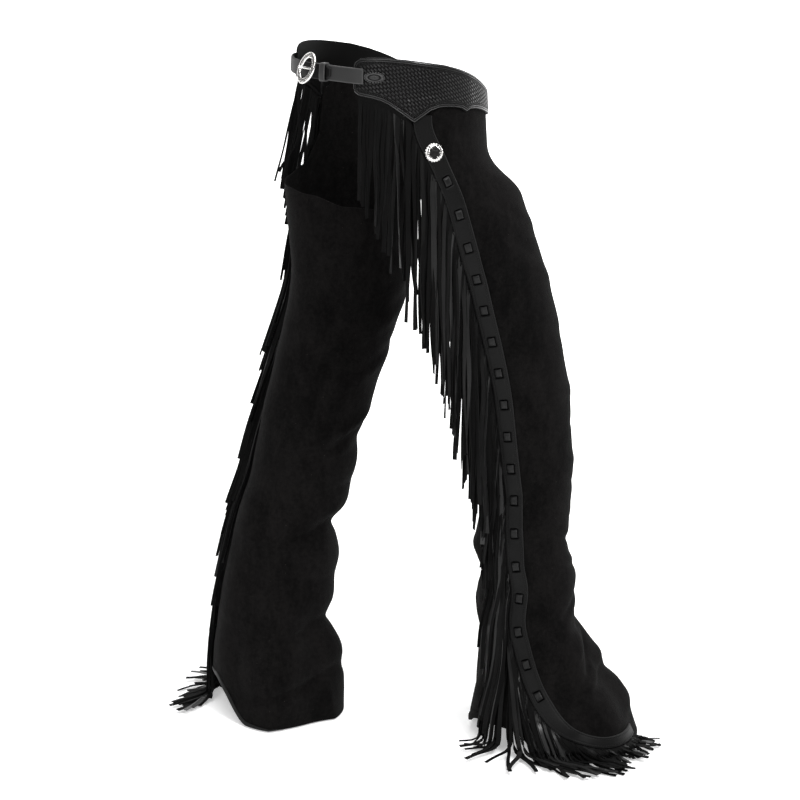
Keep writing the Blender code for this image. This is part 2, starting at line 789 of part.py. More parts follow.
def strap(name, table, side, finish, width=STRAP_WIDTH, thick=STRAP_LEATHER):
    """A strap round the waist ring: a row for each station, angle, middle height mm, out mm, width share."""
    outer, inner = [], []
    for up in (-0.5, 0.5):
        outer.append([])
        inner.append([])
        for angle, height, out, share in table:
            rise = height / 1000 + up * width * share
            outer[-1].append(waist_point(angle, rise, out / 1000 + thick, side))
            inner[-1].append(waist_point(angle, rise, out / 1000, side))
    return wall(name, outer, inner, False, finish)


def frame_axes(angle, height, out, side=-1):
    """A place on the waist ring with its own axes: middle, across, up, outward."""
    middle = waist_point(angle, height, out, side)
    normal = (waist_point(angle, height, out + 0.01, side) - middle).normalized()
    up = Vector((0, 0, 1))
    return middle, up.cross(normal).normalized(), up, normal


def oval_ring(name, place, half_across, half_up, rim, thick, lean, finish, sides=24):
    """An oval frame with a domed rim."""
    middle, across, up, normal = place
    across, up = (
        across * math.cos(lean) + up * math.sin(lean),
        up * math.cos(lean) - across * math.sin(lean),
    )
    profile = ((0.0, 0.0), (0.0, 0.55), (0.3, 1.0), (0.7, 1.0), (1.0, 0.55), (1.0, 0.0))
    points, faces = [], []
    for i in range(sides):
        turned = 2 * math.pi * i / sides
        c, s = math.cos(turned), math.sin(turned)
        for share, rise in profile:
            reach = 1 - share * rim / half_across, 1 - share * rim / half_up
            spot = middle + across * c * half_across * reach[0] + up * s * half_up * reach[1]
            points.append(spot + normal * rise * thick)
    n = len(profile)
    for i in range(sides):
        for j in range(n):
            a, b = i * n + j, i * n + (j + 1) % n
            c, d = (i + 1) % sides * n + (j + 1) % n, (i + 1) % sides * n + j
            faces.append((a, b, c, d))
    return add_object(name, points, faces, finish)


def block(name, place, half_across, half_up, thick, finish, out=0.0, corner=0.3):
    """A small flat piece with cut corners, its back on the place's plane."""
    middle, across, up, normal = place
    outline = []
    for sx, sy in ((1, 1), (-1, 1), (-1, -1), (1, -1)):
        ends = ((1, 1 - corner), (1 - corner, 1))
        for fx, fy in ends if sx * sy > 0 else ends[::-1]:
            outline.append(across * sx * fx * half_across + up * sy * fy * half_up)
    n = len(outline)
    points = [middle + normal * out + p for p in outline]
    points += [middle + normal * (out + thick) + p * 0.93 for p in outline]
    faces = [tuple(range(n))[::-1], tuple(range(n, 2 * n))]
    faces += [(j, (j + 1) % n, n + (j + 1) % n, n + j) for j in range(n)]
    return add_object(name, points, faces, finish)


def concho_place(leg):
    """The concho's seat on the outseam strip."""
    height = -0.080
    angle = leg.outseam_angle(height)
    seat = TRIM_GAP + TRIM_LEATHER + SEAM_GAP + 0.0003
    middle = leg.point(angle, height, seat)
    normal = leg.normal(angle, height)
    up = (Vector((0, 0, 1)) - normal * normal.z).normalized()
    return middle, up.cross(normal).normalized(), up, normal


def build_concho(leg):
    """A domed disc with a shallow dish in its middle."""
    middle, across, up, normal = concho_place(leg)
    profile = ((0.014, 0.0), (0.0142, 0.0012), (0.0125, 0.0026), (0.0095, 0.0036), (0.006, 0.0036))
    sides = 20
    points = [middle, middle + normal * 0.0030]
    faces = []
    for i in range(sides):
        turned = 2 * math.pi * i / sides
        for reach, rise in profile:
            spot = across * math.cos(turned) * reach + up * math.sin(turned) * reach
            points.append(middle + spot + normal * rise)
    n = len(profile)
    for i in range(sides):
        a, b = 2 + i * n, 2 + (i + 1) % sides * n
        faces.append((0, b, a))
        for j in range(n - 1):
            faces.append((a + j, b + j, b + j + 1, a + j + 1))
        faces.append((a + n - 1, b + n - 1, 1))
    return add_object(leg.name + "_concho", points, faces, "silver")


def build_concho_tie(leg):
    middle, across, up, normal = concho_place(leg)
    place = middle + normal * (0.0036 + SEAM_GAP), across, up, normal
    return block(leg.name + "_concho_tie", place, 0.0028, 0.0085, 0.0016, "trim_leather", corner=0.35)


def build_back_straps():
    """The buckle strap of the right yoke and the billet of the left yoke that runs through it."""
    over_yoke = (YOKE_LEATHER + SEAM_GAP) * 1000
    low = over_yoke
    right = [(39.5, 31, low, 0.55), (40.5, 31, low, 0.9), (43, 32, low, 1), (46, 32, low, 1)]
    right += [(50, 32.5, low, 1), (56, 33, 3.0, 1), (63, 33.5, 2.5, 1), (70, 34, 2.5, 1), (76, 34, 2.5, 1)]
    strap("right_back_strap", right, -1, "trim_leather")
    high = 2.5 + STRAP_LEATHER * 1000 + 0.5
    billet = [(39.5, 31, low, 0.55), (40.5, 31, low, 0.9), (43, 32, low, 1), (46, 32, low, 1)]
    billet += [(50, 32.5, low, 1), (57, 33, 3.4, 1), (64, 33.5, 3.2, 1), (71, 34, 3.4, 1), (78, 34, 4.0, 1)]
    billet += [(85, 34, 4.8, 1), (90, 34, high, 1), (95, 34, high, 1), (101, 34, high, 1), (108, 34, high, 1)]
    billet += [(114, 34, high, 0.9), (117, 34, high, 0.45)]
    strap("left_back_strap", billet, 1, "trim_leather")


def build_buckle():
    place = frame_axes(81, STRAP_HEIGHT, 0.0089)
    middle, across, up, normal = place
    oval_ring("buckle_frame", place, 0.0225, 0.0250, 0.0075, 0.0032, math.radians(8), "silver")
    prong_place = middle + normal * (0.0032 + SEAM_GAP), across, up, normal
    block("buckle_prong", prong_place, 0.0165, 0.0018, 0.0016, "silver", corner=0.4)
    keeper = []
    inner_out = 0.0020
    reach = 0.0112
    wall_thick = 0.0018
    half = STRAP_WIDTH / 2 + 0.0005
    for angle in (66.0, 69.8):
        ring = []
        for out, up in ((inner_out - wall_thick, 1), (reach, 1), (reach, -1), (inner_out - wall_thick, -1)):
            ring.append((angle, STRAP_HEIGHT + up * (half + wall_thick), out))
        for out, up in ((inner_out, 1), (reach - wall_thick, 1), (reach - wall_thick, -1), (inner_out, -1)):
            ring.append((angle, STRAP_HEIGHT + up * half, out))
        keeper.append([waist_point(a, h, o) for a, h, o in ring])
    points = keeper[0] + keeper[1]
    faces = []
    for j in range(4):
        k = (j + 1) % 4
        faces += [(j, k, 8 + k, 8 + j), (4 + k, 4 + j, 12 + j, 12 + k)]
        faces += [(k, j, 4 + j, 4 + k), (8 + j, 8 + k, 12 + k, 12 + j)]
    add_object("strap_keeper", points, faces, "trim_leather")


def build_yoke_loop(leg):
    """The short lace stitch that anchors the strap, on the yoke just ahead of the strap's end."""
    place = frame_axes(35.5, 0.031, YOKE_LEATHER + SEAM_GAP + 0.0002, leg.side)
    return block(leg.name + "_strap_stitch", place, 0.0085, 0.0060, 0.0020, "trim_leather", corner=0.35)


def build_front_strap():
    """The plain strap that joins the yokes across the front."""
    table = []
    for angle in (-74, -77, -80, -83, -86, -90, -94, -97, -100, -103, -106):
        table.append((angle, -33, (YOKE_LEATHER + SEAM_GAP) * 1000 + 0.1, 0.7 if abs(angle + 90) > 15 else 1))
    strap("front_strap", table, -1, "trim_leather", width=0.016)


def main():
    clear_scene()
    right = Leg("right", -1, RIGHT_SECTIONS, RIGHT_TOP, RIGHT_FOLDS, RIGHT_OUTSEAM)
    left = Leg("left", 1, LEFT_SECTIONS, LEFT_TOP, LEFT_FOLDS, LEFT_OUTSEAM)
    for leg in (right, left):
        leg.cut()
        build_leg(leg)
        build_yoke(leg)
        build_outseam(leg)
        build_fringe(leg)
        build_concho(leg)
        build_concho_tie(leg)
        build_yoke_loop(leg)
    build_back_straps()
    build_buckle()
    build_front_strap()


main()
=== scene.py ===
# %% [markdown]
# # Black fringed chaps, worn and walking
# Chaps are two leather legs that hang from a pair of yokes on the hips. These are black
# suede, with stamped yokes, a laced strip down each outer seam and long cut fringe. The
# solids already hold the form. This file dresses them with thin detailed leather, so it
# starts by loading them.

# %% Start from the solids
import math

import bpy
import numpy as np
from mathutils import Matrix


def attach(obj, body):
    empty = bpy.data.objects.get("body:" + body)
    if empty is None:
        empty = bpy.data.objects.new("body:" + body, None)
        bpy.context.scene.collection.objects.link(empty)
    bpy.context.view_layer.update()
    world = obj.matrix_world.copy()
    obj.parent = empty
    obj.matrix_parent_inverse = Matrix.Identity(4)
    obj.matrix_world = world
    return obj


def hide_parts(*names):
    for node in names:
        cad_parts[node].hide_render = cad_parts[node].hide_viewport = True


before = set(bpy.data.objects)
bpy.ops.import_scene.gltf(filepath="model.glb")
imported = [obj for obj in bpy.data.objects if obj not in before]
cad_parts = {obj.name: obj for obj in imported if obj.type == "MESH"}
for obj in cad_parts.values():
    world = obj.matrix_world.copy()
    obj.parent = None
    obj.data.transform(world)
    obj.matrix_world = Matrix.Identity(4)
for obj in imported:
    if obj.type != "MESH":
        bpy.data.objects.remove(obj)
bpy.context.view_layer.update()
BODY = "root"
FLOOR = -1.057

# %% [markdown]
# ## Reading small tables
# A leg is easiest to shape from a few sections, with smooth values between them. A cubic
# that never overshoots keeps the leather from bulging where the table doesn't. The whole
# grid goes through at once as an array, because a loop over each point would be slow.


# %% Smooth values from a table
def along(table, column, at):
    """Smooth values of one column, read at the places in the first column."""
    rows = np.array(sorted(table), float)
    x, y = rows[:, 0], rows[:, column]
    at = np.clip(at, x[0], x[-1])
    step = np.diff(x)
    rise = np.diff(y) / step
    both = rise[:-1] * rise[1:]
    total = np.where(rise[:-1] + rise[1:] == 0, 1, rise[:-1] + rise[1:])
    slope = np.concatenate([rise[:1], np.where(both > 0, 2 * both / total, 0), rise[-1:]])
    k = np.clip(np.searchsorted(x, at, side="right") - 1, 0, len(x) - 2)
    t = (at - x[k]) / step[k]
    t2, t3 = t * t, t * t * t
    low = (2 * t3 - 3 * t2 + 1) * y[k] + (t3 - 2 * t2 + t) * step[k] * slope[k]
    return low + (3 * t2 - 2 * t3) * y[k + 1] + (t3 - t2) * step[k] * slope[k + 1]


def ease(low, high, at):
    share = np.clip((np.asarray(at, float) - low) / (high - low), 0, 1)
    return share * share * (3 - 2 * share)


def turn(angle):
    return (np.asarray(angle, float) + 180) % 360 - 180


def unit(v):
    return v / np.maximum(np.linalg.norm(v, axis=-1, keepdims=True), 1e-9)


print("half way up", float(along([(0, 0), (1, 1), (2, 1)], 1, 0.5)))

# %% [markdown]
# ## The cut and its folds
# These are the sections, top edges, break folds and seam lines of the two legs. The right
# leg steps forward and the left one trails. Suede breaks into soft folds above the foot
# and behind the knee, so each fold is listed one by one: its height, where it lies round
# the leg, how tall and wide it is, how deep, and how it climbs.

# %% Sections and edges
RIGHT_SECTIONS = (
    # height, across, forward, half_width, half_depth, all in millimetres
    (60, 89, 18, 84, 132), (-30, 90, 18, 84, 132), (-100, 92, -11, 88, 132),
    (-150, 95, -42, 90, 125), (-200, 98, -69, 92, 115), (-250, 100, -96, 92, 105),
    (-300, 101, -120, 90, 98), (-400, 103, -153, 84, 92), (-500, 105, -175, 79, 86),
    (-600, 107, -186, 78, 80), (-650, 108, -189, 78, 76), (-700, 109, -186, 80, 75),
    (-750, 111, -185, 84, 77), (-800, 113, -192, 88, 77), (-850, 117, -186, 94, 80),
    (-900, 125, -194, 104, 88), (-950, 138, -204, 118, 104), (-1000, 156, -213, 138, 120),
    (-1060, 172, -224, 154, 128),
)
LEFT_SECTIONS = (
    # height, across, forward, half_width, half_depth, all in millimetres
    (60, 89, 18, 84, 132), (-30, 90, 18, 84, 132), (-100, 92, 16, 88, 128),
    (-150, 95, 18, 90, 121), (-200, 98, 22, 92, 112), (-250, 100, 25, 92, 104),
    (-300, 101, 27, 90, 99), (-350, 102, 32, 88, 97), (-400, 103, 46, 86, 95),
    (-500, 105, 76, 82, 94), (-600, 107, 106, 80, 86), (-650, 108, 116, 80, 86),
    (-700, 109, 132, 82, 86), (-750, 110, 146, 85, 87), (-800, 112, 153, 89, 91),
    (-850, 114, 162, 94, 92), (-900, 116, 166, 101, 94), (-950, 117, 165, 112, 101),
    (-1000, 116, 162, 123, 106), (-1060, 115, 160, 130, 105),
)
UNDER = None
RIGHT_TOP = (
    # angle behind the outer side, height; UNDER runs hidden behind the yoke
    (-180, -205), (-168, -185), (-155, -120), (-142, -72), (-125, UNDER), (21, UNDER),
    (26.5, -115), (38, -195), (60, -240), (90, -268), (115, -275), (150, -240), (180, -205),
)
LEFT_TOP = (
    (-180, -196), (-168, -180), (-155, -120), (-142, -72), (-125, UNDER), (21, UNDER),
    (26.5, -95), (38, -142), (60, -156), (90, -164), (115, -172), (150, -190), (180, -196),
)
RIGHT_OUTSEAM = (
    # height, angle behind the outer side
    (40, 4), (-60, 8), (-100, 9), (-150, 15), (-200, 22), (-250, 29), (-300, 34.5),
    (-350, 38), (-450, 41), (-550, 43), (-650, 41), (-750, 36), (-850, 35),
    (-930, 33), (-980, 26), (-1010, 12), (-1024, -6), (-1029, -24), (-1031, -40),
)
LEFT_OUTSEAM = (
    (40, 4), (-60, 8), (-100, 9), (-150, 15), (-200, 21), (-250, 26), (-300, 30),
    (-350, 32), (-450, 35), (-550, 37), (-650, 38), (-750, 38), (-850, 36),
    (-930, 33), (-980, 26), (-1010, 12), (-1024, -6), (-1029, -24), (-1031, -40),
)
YOKE = (
    # angle behind the outer side, top, bottom
    (49.5, 46, 14), (48.5, 53, 7), (46.3, 57, 3), (42.0, 59, 1), (37.8, 59.5, -1), (33.6, 59.5, -4),
    (29.0, 59, -10), (24.7, 58, -18), (20.0, 57, -27), (15.7, 55.5, -35), (11.5, 54, -27),
    (6.5, 52, -18), (2.0, 50, -14.5), (-3.0, 48, -14), (-9.0, 44, -15), (-15.0, 40, -18),
    (-19.5, 36, -24), (-23.0, 33, -21), (-29.0, 27, -22), (-35.0, 20, -25), (-42.0, 12, -30),
    (-49.0, 5, -35), (-56.0, -2, -40), (-64.0, -8, -44), (-72.0, -12, -47), (-79.0, -15, -49),
    (-84.0, -17, -49), (-86.0, -21, -46),
)
print("sections", len(RIGHT_SECTIONS), len(LEFT_SECTIONS))

# %% Folds
RIGHT_FOLDS = (
    # height, angle, half_height, half_width, depth, climb
    (-746, -100, 22, 60, -8, 0.10), (-805, -95, 26, 50, 3, 0.10), (-866, -95, 18, 60, -6, -0.15),
    (-918, -90, 24, 52, 5, -0.20), (-950, -98, 15, 56, -9, -0.25), (-990, -78, 24, 48, 6, -0.20),
    (-700, 110, 30, 38, -5, 0.25), (-800, 118, 30, 40, -6, 0.30), (-890, 125, 30, 40, -7, 0.30),
    (-960, -10, 80, 13, 7, 0.0), (-970, -42, 80, 13, -8, 0.0), (-970, -68, 80, 12, 6, 0.0),
    (-960, 85, 90, 16, 8, 0.0), (-960, 125, 90, 16, -9, 0.0), (-960, 160, 90, 16, 8, 0.0),
    (-960, -150, 90, 18, -8, 0.0), (-430, -100, 40, 50, -3, 0.15), (-330, -120, 40, 45, -4, 0.35),
    (-560, 115, 34, 45, -5, 0.2),
)
LEFT_FOLDS = (
    (-585, -118, 20, 60, -6, 0.25), (-632, -115, 26, 55, 3, 0.2), (-727, -118, 17, 62, -13, -0.2),
    (-690, -110, 20, 55, 4, 0.0), (-785, -112, 28, 50, 6, -0.15), (-891, -118, 18, 60, -11, -0.2),
    (-848, -115, 24, 45, 4, 0.0), (-945, -112, 26, 50, 6, -0.1), (-500, -130, 34, 45, -5, 0.3),
    (-500, 110, 36, 48, -5, -0.3), (-600, 112, 34, 45, -5, -0.25), (-690, 115, 30, 45, 4, -0.2),
    (-780, 120, 30, 42, -6, -0.2), (-950, 165, 90, 16, 8, 0.0), (-950, -162, 90, 14, -9, 0.0),
    (-960, -128, 80, 13, 8, 0.0), (-960, 118, 90, 16, -8, 0.0), (-960, -60, 90, 16, -7, 0.0),
    (-960, -15, 80, 14, 6, 0.0),
)
RIGHT_WRINKLES = (
    # height, angle, half_height, half_width, depth, climb: smaller creases, for looks alone
    (-735, -60, 6, 34, -1.6, 0.35), (-760, -40, 9, 26, 1.5, 0.45), (-782, -70, 7, 40, -1.3, 0.3),
    (-842, -50, 8, 32, 1.6, -0.25), (-874, -48, 6, 30, -1.9, -0.3), (-900, -28, 10, 22, 1.6, -0.5),
    (-936, -55, 7, 30, 1.8, -0.45), (-957, -30, 7, 26, -2.0, -0.6), (-983, -100, 8, 34, -1.6, -0.2),
    (-1010, -55, 10, 26, 1.6, -0.5), (-690, -80, 9, 32, 1.2, 0.2), (-640, -70, 8, 36, -1.1, 0.3),
    (-600, -60, 12, 30, 1.2, 0.4), (-545, -80, 9, 34, -1.0, 0.3), (-480, -60, 14, 30, 1.2, 0.5),
    (-240, -40, 16, 26, -1.6, 0.9), (-205, -70, 14, 28, 1.5, 0.8), (-170, -30, 12, 20, -1.2, 0.9),
    (-290, -60, 16, 30, 1.3, 0.8), (-380, -50, 16, 30, -1.3, 0.7), (-130, -60, 14, 22, 1.2, 0.6),
    (-470, 130, 12, 36, -1.6, 0.4), (-520, 150, 9, 34, 1.5, 0.3), (-610, 120, 9, 34, -1.6, 0.3),
    (-655, 150, 9, 30, 1.5, 0.2), (-745, 130, 9, 32, 2.0, 0.3), (-845, 110, 9, 30, -2.0, 0.3),
    (-640, 40, 10, 20, -1.2, -0.4), (-735, 62, 9, 22, 1.4, -0.3), (-835, 70, 10, 22, -1.6, -0.2),
    (-380, 150, 16, 34, -1.6, 0.5), (-320, 170, 14, 30, 1.5, 0.4), (-420, 90, 16, 26, 1.2, -0.4),
)
WRINKLE_GAIN = 1.6
RIGHT_CREASES = (
    # the long ones: the flared back of the hem, and the break over the instep
    (-1045, 104, 46, 30, 17, 0.0), (-950, 100, 26, 34, -5, 0.2), (-925, -28, 9, 24, -6, -1.3),
    (-899, -22, 14, 24, 4, -1.3), (-1005, 2, 12, 20, -3, -1.2), (-845, -25, 9, 30, -3.5, -0.7),
    (-770, -20, 10, 28, 3, 0.7), (-715, -25, 9, 30, -3, 0.6),
)
LEFT_CREASES = (
    # the long one across the hem, and the ones that cross the back of the knee
    (-988, 177, 9, 46, -5.5, 0.37), (-964, 177, 16, 44, 3.5, 0.37), (-905, 172, 8, 40, -3.5, 0.45),
    (-735, 172, 9, 42, -4, 0.4), (-715, 168, 13, 38, 2.5, 0.4), (-595, 178, 8, 40, -3.5, 0.5),
    (-572, 175, 12, 38, 2.5, 0.5), (-440, 160, 12, 34, -3, 0.6), (-300, 160, 14, 30, 2.5, 0.7),
)
LEFT_WRINKLES = (
    (-570, -150, 6, 30, -2.0, 0.35), (-600, -160, 9, 36, 1.8, 0.3), (-548, -140, 8, 34, 1.4, 0.35),
    (-615, 170, 7, 30, -1.5, 0.3), (-660, -150, 8, 34, -1.7, 0.1), (-700, 165, 9, 30, 1.6, -0.2),
    (-740, -160, 7, 34, -2.4, -0.3), (-758, 175, 8, 30, 1.8, -0.4), (-812, -165, 9, 34, -1.8, -0.2),
    (-835, 170, 9, 30, 1.6, -0.3), (-872, -155, 7, 34, 1.8, -0.3), (-903, -165, 7, 32, -2.4, -0.35),
    (-925, 170, 10, 30, 1.6, -0.5), (-975, -135, 10, 30, -1.8, -0.3), (-1000, 175, 12, 24, 1.6, -0.4),
    (-465, -150, 12, 34, 1.6, 0.5), (-430, -120, 12, 36, -1.5, 0.5), (-385, -150, 14, 34, 1.4, 0.6),
    (-340, -120, 14, 34, -1.5, 0.7), (-290, -150, 14, 30, 1.4, 0.8), (-245, -130, 12, 26, -1.5, 0.9),
    (-360, 150, 14, 34, -1.4, -0.5), (-410, 130, 12, 34, 1.4, -0.4), (-455, 150, 12, 34, -1.5, -0.3),
    (-540, 140, 10, 34, 1.6, -0.3), (-640, 140, 10, 34, -1.6, -0.2), (-740, 130, 9, 30, 1.7, -0.2),
    (-820, 140, 9, 30, -1.7, -0.2), (-880, 120, 9, 30, 1.7, -0.2), (-260, 150, 14, 30, 1.4, -0.5),
    (-700, -50, 9, 30, -1.5, 0.3), (-800, -40, 9, 30, -1.5, 0.2), (-300, -30, 14, 30, 1.4, 0.5),
)
print("folds", len(RIGHT_FOLDS + LEFT_FOLDS), "wrinkles", len(RIGHT_WRINKLES + LEFT_WRINKLES))

# %% [markdown]
# ## The waist ring and the legs
# The yokes lie on an oval ring round the hips, a little deeper behind than in front. A leg
# is a centre line with an oval round it, which meets the ring at the top. The seam between
# the legs stays 9 mm clear of the middle. The same functions place the strips, the fringe
# and the stitches, so nothing floats off the leather.

# %% Waist ring
WAIST_HALF_WIDTH = 0.172
WAIST_DEPTHS = {"front": 0.138, "back": 0.149}
HIP_SPREAD = 0.06
MIDDLE_CLEAR = 0.009


def waist_point(angle, height, out=0.0, side=-1):
    """Points on the ring by angle behind the outer side, moved out square to it."""
    angle, height, out = np.broadcast_arrays(angle, height, out)
    grow = -HIP_SPREAD * height
    wide = WAIST_HALF_WIDTH + grow
    deep = np.where(turn(angle) >= 0, WAIST_DEPTHS["back"], WAIST_DEPTHS["front"]) + grow
    c, s = np.cos(np.radians(angle)), np.sin(np.radians(angle))
    normal = unit(np.stack([side * c / wide, s / deep, 0 * c], -1))
    return np.stack([side * c * wide, s * deep, height], -1) + normal * out[..., None]


def waist_angle(spot):
    deep = np.where(spot[..., 1] >= 0, WAIST_DEPTHS["back"], WAIST_DEPTHS["front"])
    return np.degrees(np.arctan2(spot[..., 1] / deep, np.abs(spot[..., 0]) / WAIST_HALF_WIDTH))


YOKE_ROWS = np.array(sorted(YOKE), float)


def yoke_edge(angle, column):
    return np.interp(angle, YOKE_ROWS[:, 0], YOKE_ROWS[:, column]) / 1000


print("waist ring", WAIST_HALF_WIDTH * 2, "by", sum(WAIST_DEPTHS.values()))


# %% The leg surface
class Leg:
    """The outer face of one leg panel, read by angle behind the outer side and height."""

    def __init__(self, name, side, sections, top, folds, outseam):
        self.name, self.side, self.top, self.folds, self.outseam = name, side, top, folds, outseam
        self.rows = [tuple(value / 1000 for value in row) for row in sections]
        degrees = np.arange(-180, 180.5, 0.5)
        self.edge_table = degrees, np.array([self.find_top(angle) for angle in degrees])

    def centre(self, height):
        across = self.side * along(self.rows, 1, height)
        return np.stack([across, along(self.rows, 2, height), height + 0 * across], -1)

    def direction(self, angle):
        turned = np.radians(angle)
        return np.stack([self.side * np.cos(turned), np.sin(turned), 0 * turned], -1)

    def waist_radius(self, angle, height):
        start, way = self.centre(height), self.direction(angle)
        grow = -HIP_SPREAD * height - 0.001
        wide = WAIST_HALF_WIDTH + grow
        found = {}
        for name, depth in WAIST_DEPTHS.items():
            deep = depth + grow
            a = (way[..., 0] / wide) ** 2 + (way[..., 1] / deep) ** 2
            b = start[..., 0] * way[..., 0] / wide**2 + start[..., 1] * way[..., 1] / deep**2
            c = (start[..., 0] / wide) ** 2 + (start[..., 1] / deep) ** 2 - 1
            found[name] = (-b + np.sqrt(np.maximum(b * b - a * c, 0))) / a
        behind = start[..., 1] + way[..., 1] * found["back"] >= 0
        return np.where(behind, found["back"], found["front"])

    def radius(self, angle, height):
        angle, height = np.broadcast_arrays(np.asarray(angle, float), np.asarray(height, float))
        turned = np.radians(angle)
        wide, deep = along(self.rows, 3, height), along(self.rows, 4, height)
        reach = 1 / np.hypot(np.cos(turned) / wide, np.sin(turned) / deep)
        reach = reach + ease(-0.165, -0.085, height) * (self.waist_radius(angle, height) - reach) * 1.0
        inward = -np.cos(turned)
        limit = (along(self.rows, 1, height) - MIDDLE_CLEAR) / np.maximum(inward, 0.05)
        reach = np.where(inward > 0.05, np.minimum(reach, limit), reach)
        for fold_height, fold_angle, tall, broad, depth, climb in self.folds:
            away = turn(angle - fold_angle)
            rise = (height * 1000 - fold_height - climb * away) / tall
            reach = reach + depth / 1000 * np.exp(-rise * rise - (away / broad) ** 2)
        return reach

    def point(self, angle, height, out=None):
        angle, height = np.broadcast_arrays(np.asarray(angle, float), np.asarray(height, float))
        here = self.centre(height) + self.direction(angle) * self.radius(angle, height)[..., None]
        if out is None:
            return here
        return here + self.normal(angle, height) * np.broadcast_to(out, angle.shape)[..., None]

    def normal(self, angle, height):
        round_way = self.point(angle + 2, height) - self.point(angle - 2, height)
        up_way = self.point(angle, height + 0.004) - self.point(angle, height - 0.004)
        square = unit(np.cross(round_way, up_way))
        facing = (square * self.direction(angle)).sum(-1, keepdims=True)
        return np.where(facing > 0, square, -square)

    def find_top(self, angle):
        k = 0
        while k < len(self.top) - 2 and angle > self.top[k + 1][0]:
            k += 1
        low, high = self.top[k], self.top[k + 1]
        if low[1] is UNDER and high[1] is UNDER:
            return self.under_yoke(angle)
        ends = [self.under_yoke(a) if h is UNDER else h / 1000 for a, h in (low, high)]
        return ends[0] + (ends[1] - ends[0]) * float(ease(low[0], high[0], angle))

    def under_yoke(self, angle):
        height = -0.03
        for _ in range(4):
            height = float(yoke_edge(waist_angle(self.point(angle, height)), 2)) + 0.014
        return height

    def top_edge(self, angle):
        return np.interp(turn(angle), *self.edge_table)

    def seat(self, spots, out):
        """The points of the wall level with points near it, moved out."""
        flat = spots - self.centre(spots[..., 2])
        angle = np.degrees(np.arctan2(flat[..., 1], self.side * flat[..., 0]))
        return self.point(angle, spots[..., 2], out)


def deeper(rows, gain):
    return tuple((*row[:4], row[4] * gain, row[5]) for row in rows)


RIGHT_ALL = RIGHT_FOLDS + deeper(RIGHT_WRINKLES, WRINKLE_GAIN) + RIGHT_CREASES
LEFT_ALL = LEFT_FOLDS + deeper(LEFT_WRINKLES, WRINKLE_GAIN) + LEFT_CREASES
right = Leg("right", -1, RIGHT_SECTIONS, RIGHT_TOP, RIGHT_ALL, RIGHT_OUTSEAM)
left = Leg("left", 1, LEFT_SECTIONS, LEFT_TOP, LEFT_ALL, LEFT_OUTSEAM)
LEGS = right, left
print("right knee is", round(float(right.radius(0, -0.6)), 3), "from its centre")

# %% [markdown]
# ## Turning grids into leather
# Almost every piece here is a bent rectangle of leather, so one helper joins an outer and
# an inner grid into a closed wall. It also lays out the cut flat, as a UV map in metres,
# so that a stamped pattern can follow the leather. Numbers that the finish needs, such as
# how far a spot is from the edge, are stored on the points.


# %% Walls from two grids
def add_piece(name, points, faces, finish, flat=None, marks=None):
    """A mesh object from arrays, smooth, with its flat layout and its stored numbers."""
    mesh = bpy.data.meshes.new(name)
    mesh.from_pydata(np.asarray(points, float).reshape(-1, 3).tolist(), [], np.asarray(faces).tolist())
    if flat is not None:
        layout = mesh.uv_layers.new(name="cut")
        corners = np.zeros(len(mesh.loops), np.int32)
        mesh.loops.foreach_get("vertex_index", corners)
        layout.data.foreach_set("uv", np.asarray(flat, np.float32).reshape(-1, 2)[corners].ravel())
    for key, values in (marks or {}).items():
        layer = mesh.attributes.new(key, "FLOAT", "POINT")
        layer.data.foreach_set("value", np.asarray(values, np.float32).ravel())
    mesh.shade_smooth()
    mesh.set_sharp_from_angle(angle=math.radians(50))
    made = bpy.data.objects.new(name, mesh)
    bpy.context.collection.objects.link(made)
    mesh.materials.append(finish)
    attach(made, BODY)
    return made


def wall_faces(rows, columns, closed):
    """Faces of a closed wall: outer grid first, then the inner one."""
    back = rows * columns
    last = columns if closed else columns - 1
    i, j = np.meshgrid(np.arange(rows - 1), np.arange(last), indexing="ij")
    k = (j + 1) % columns
    a, b, c, d = i * columns + j, i * columns + k, (i + 1) * columns + k, (i + 1) * columns + j
    faces = [np.stack([a, b, c, d], -1).reshape(-1, 4)]
    faces.append(np.stack([d, c, b, a], -1).reshape(-1, 4) + back)
    j = np.arange(last)
    k, top = (j + 1) % columns, (rows - 1) * columns
    faces.append(np.stack([j, j + back, k + back, k], -1))
    faces.append(np.stack([top + k, top + k + back, top + j + back, top + j], -1))
    if not closed:
        a, b = np.arange(rows - 1) * columns, np.arange(1, rows) * columns
        end = columns - 1
        faces.append(np.stack([a, b, b + back, a + back], -1))
        faces.append(np.stack([a + end, a + end + back, b + end + back, b + end], -1))
    return np.concatenate(faces)


def outward(points, faces):
    """The same faces, turned so that the wall's volume is positive."""
    corner = points[faces[:, :3]]
    volume = np.einsum("ij,ij->i", corner[:, 0], np.cross(corner[:, 1], corner[:, 2])).sum()
    corner = points[faces[:, [0, 2, 3]]]
    volume += np.einsum("ij,ij->i", corner[:, 0], np.cross(corner[:, 1], corner[:, 2])).sum()
    return faces if volume > 0 else faces[:, ::-1]


def add_wall(name, outer, inner, closed, finish, flat=None, marks=None):
    rows, columns = outer.shape[:2]
    points = np.concatenate([outer.reshape(-1, 3), inner.reshape(-1, 3)])
    faces = outward(points, wall_faces(rows, columns, closed))
    both = None if flat is None else np.concatenate([flat.reshape(-1, 2)] * 2)
    twice = {key: np.concatenate([np.ravel(values)] * 2) for key, values in (marks or {}).items()}
    twice["back"] = np.repeat((0.0, 1.0), rows * columns)
    return add_piece(name, points, faces, finish, both, twice)


def half_surface(piece):
    return sum(face.area for face in piece.data.polygons) / 2


print("a 2 by 2 wall has", len(wall_faces(2, 2, False)), "faces")

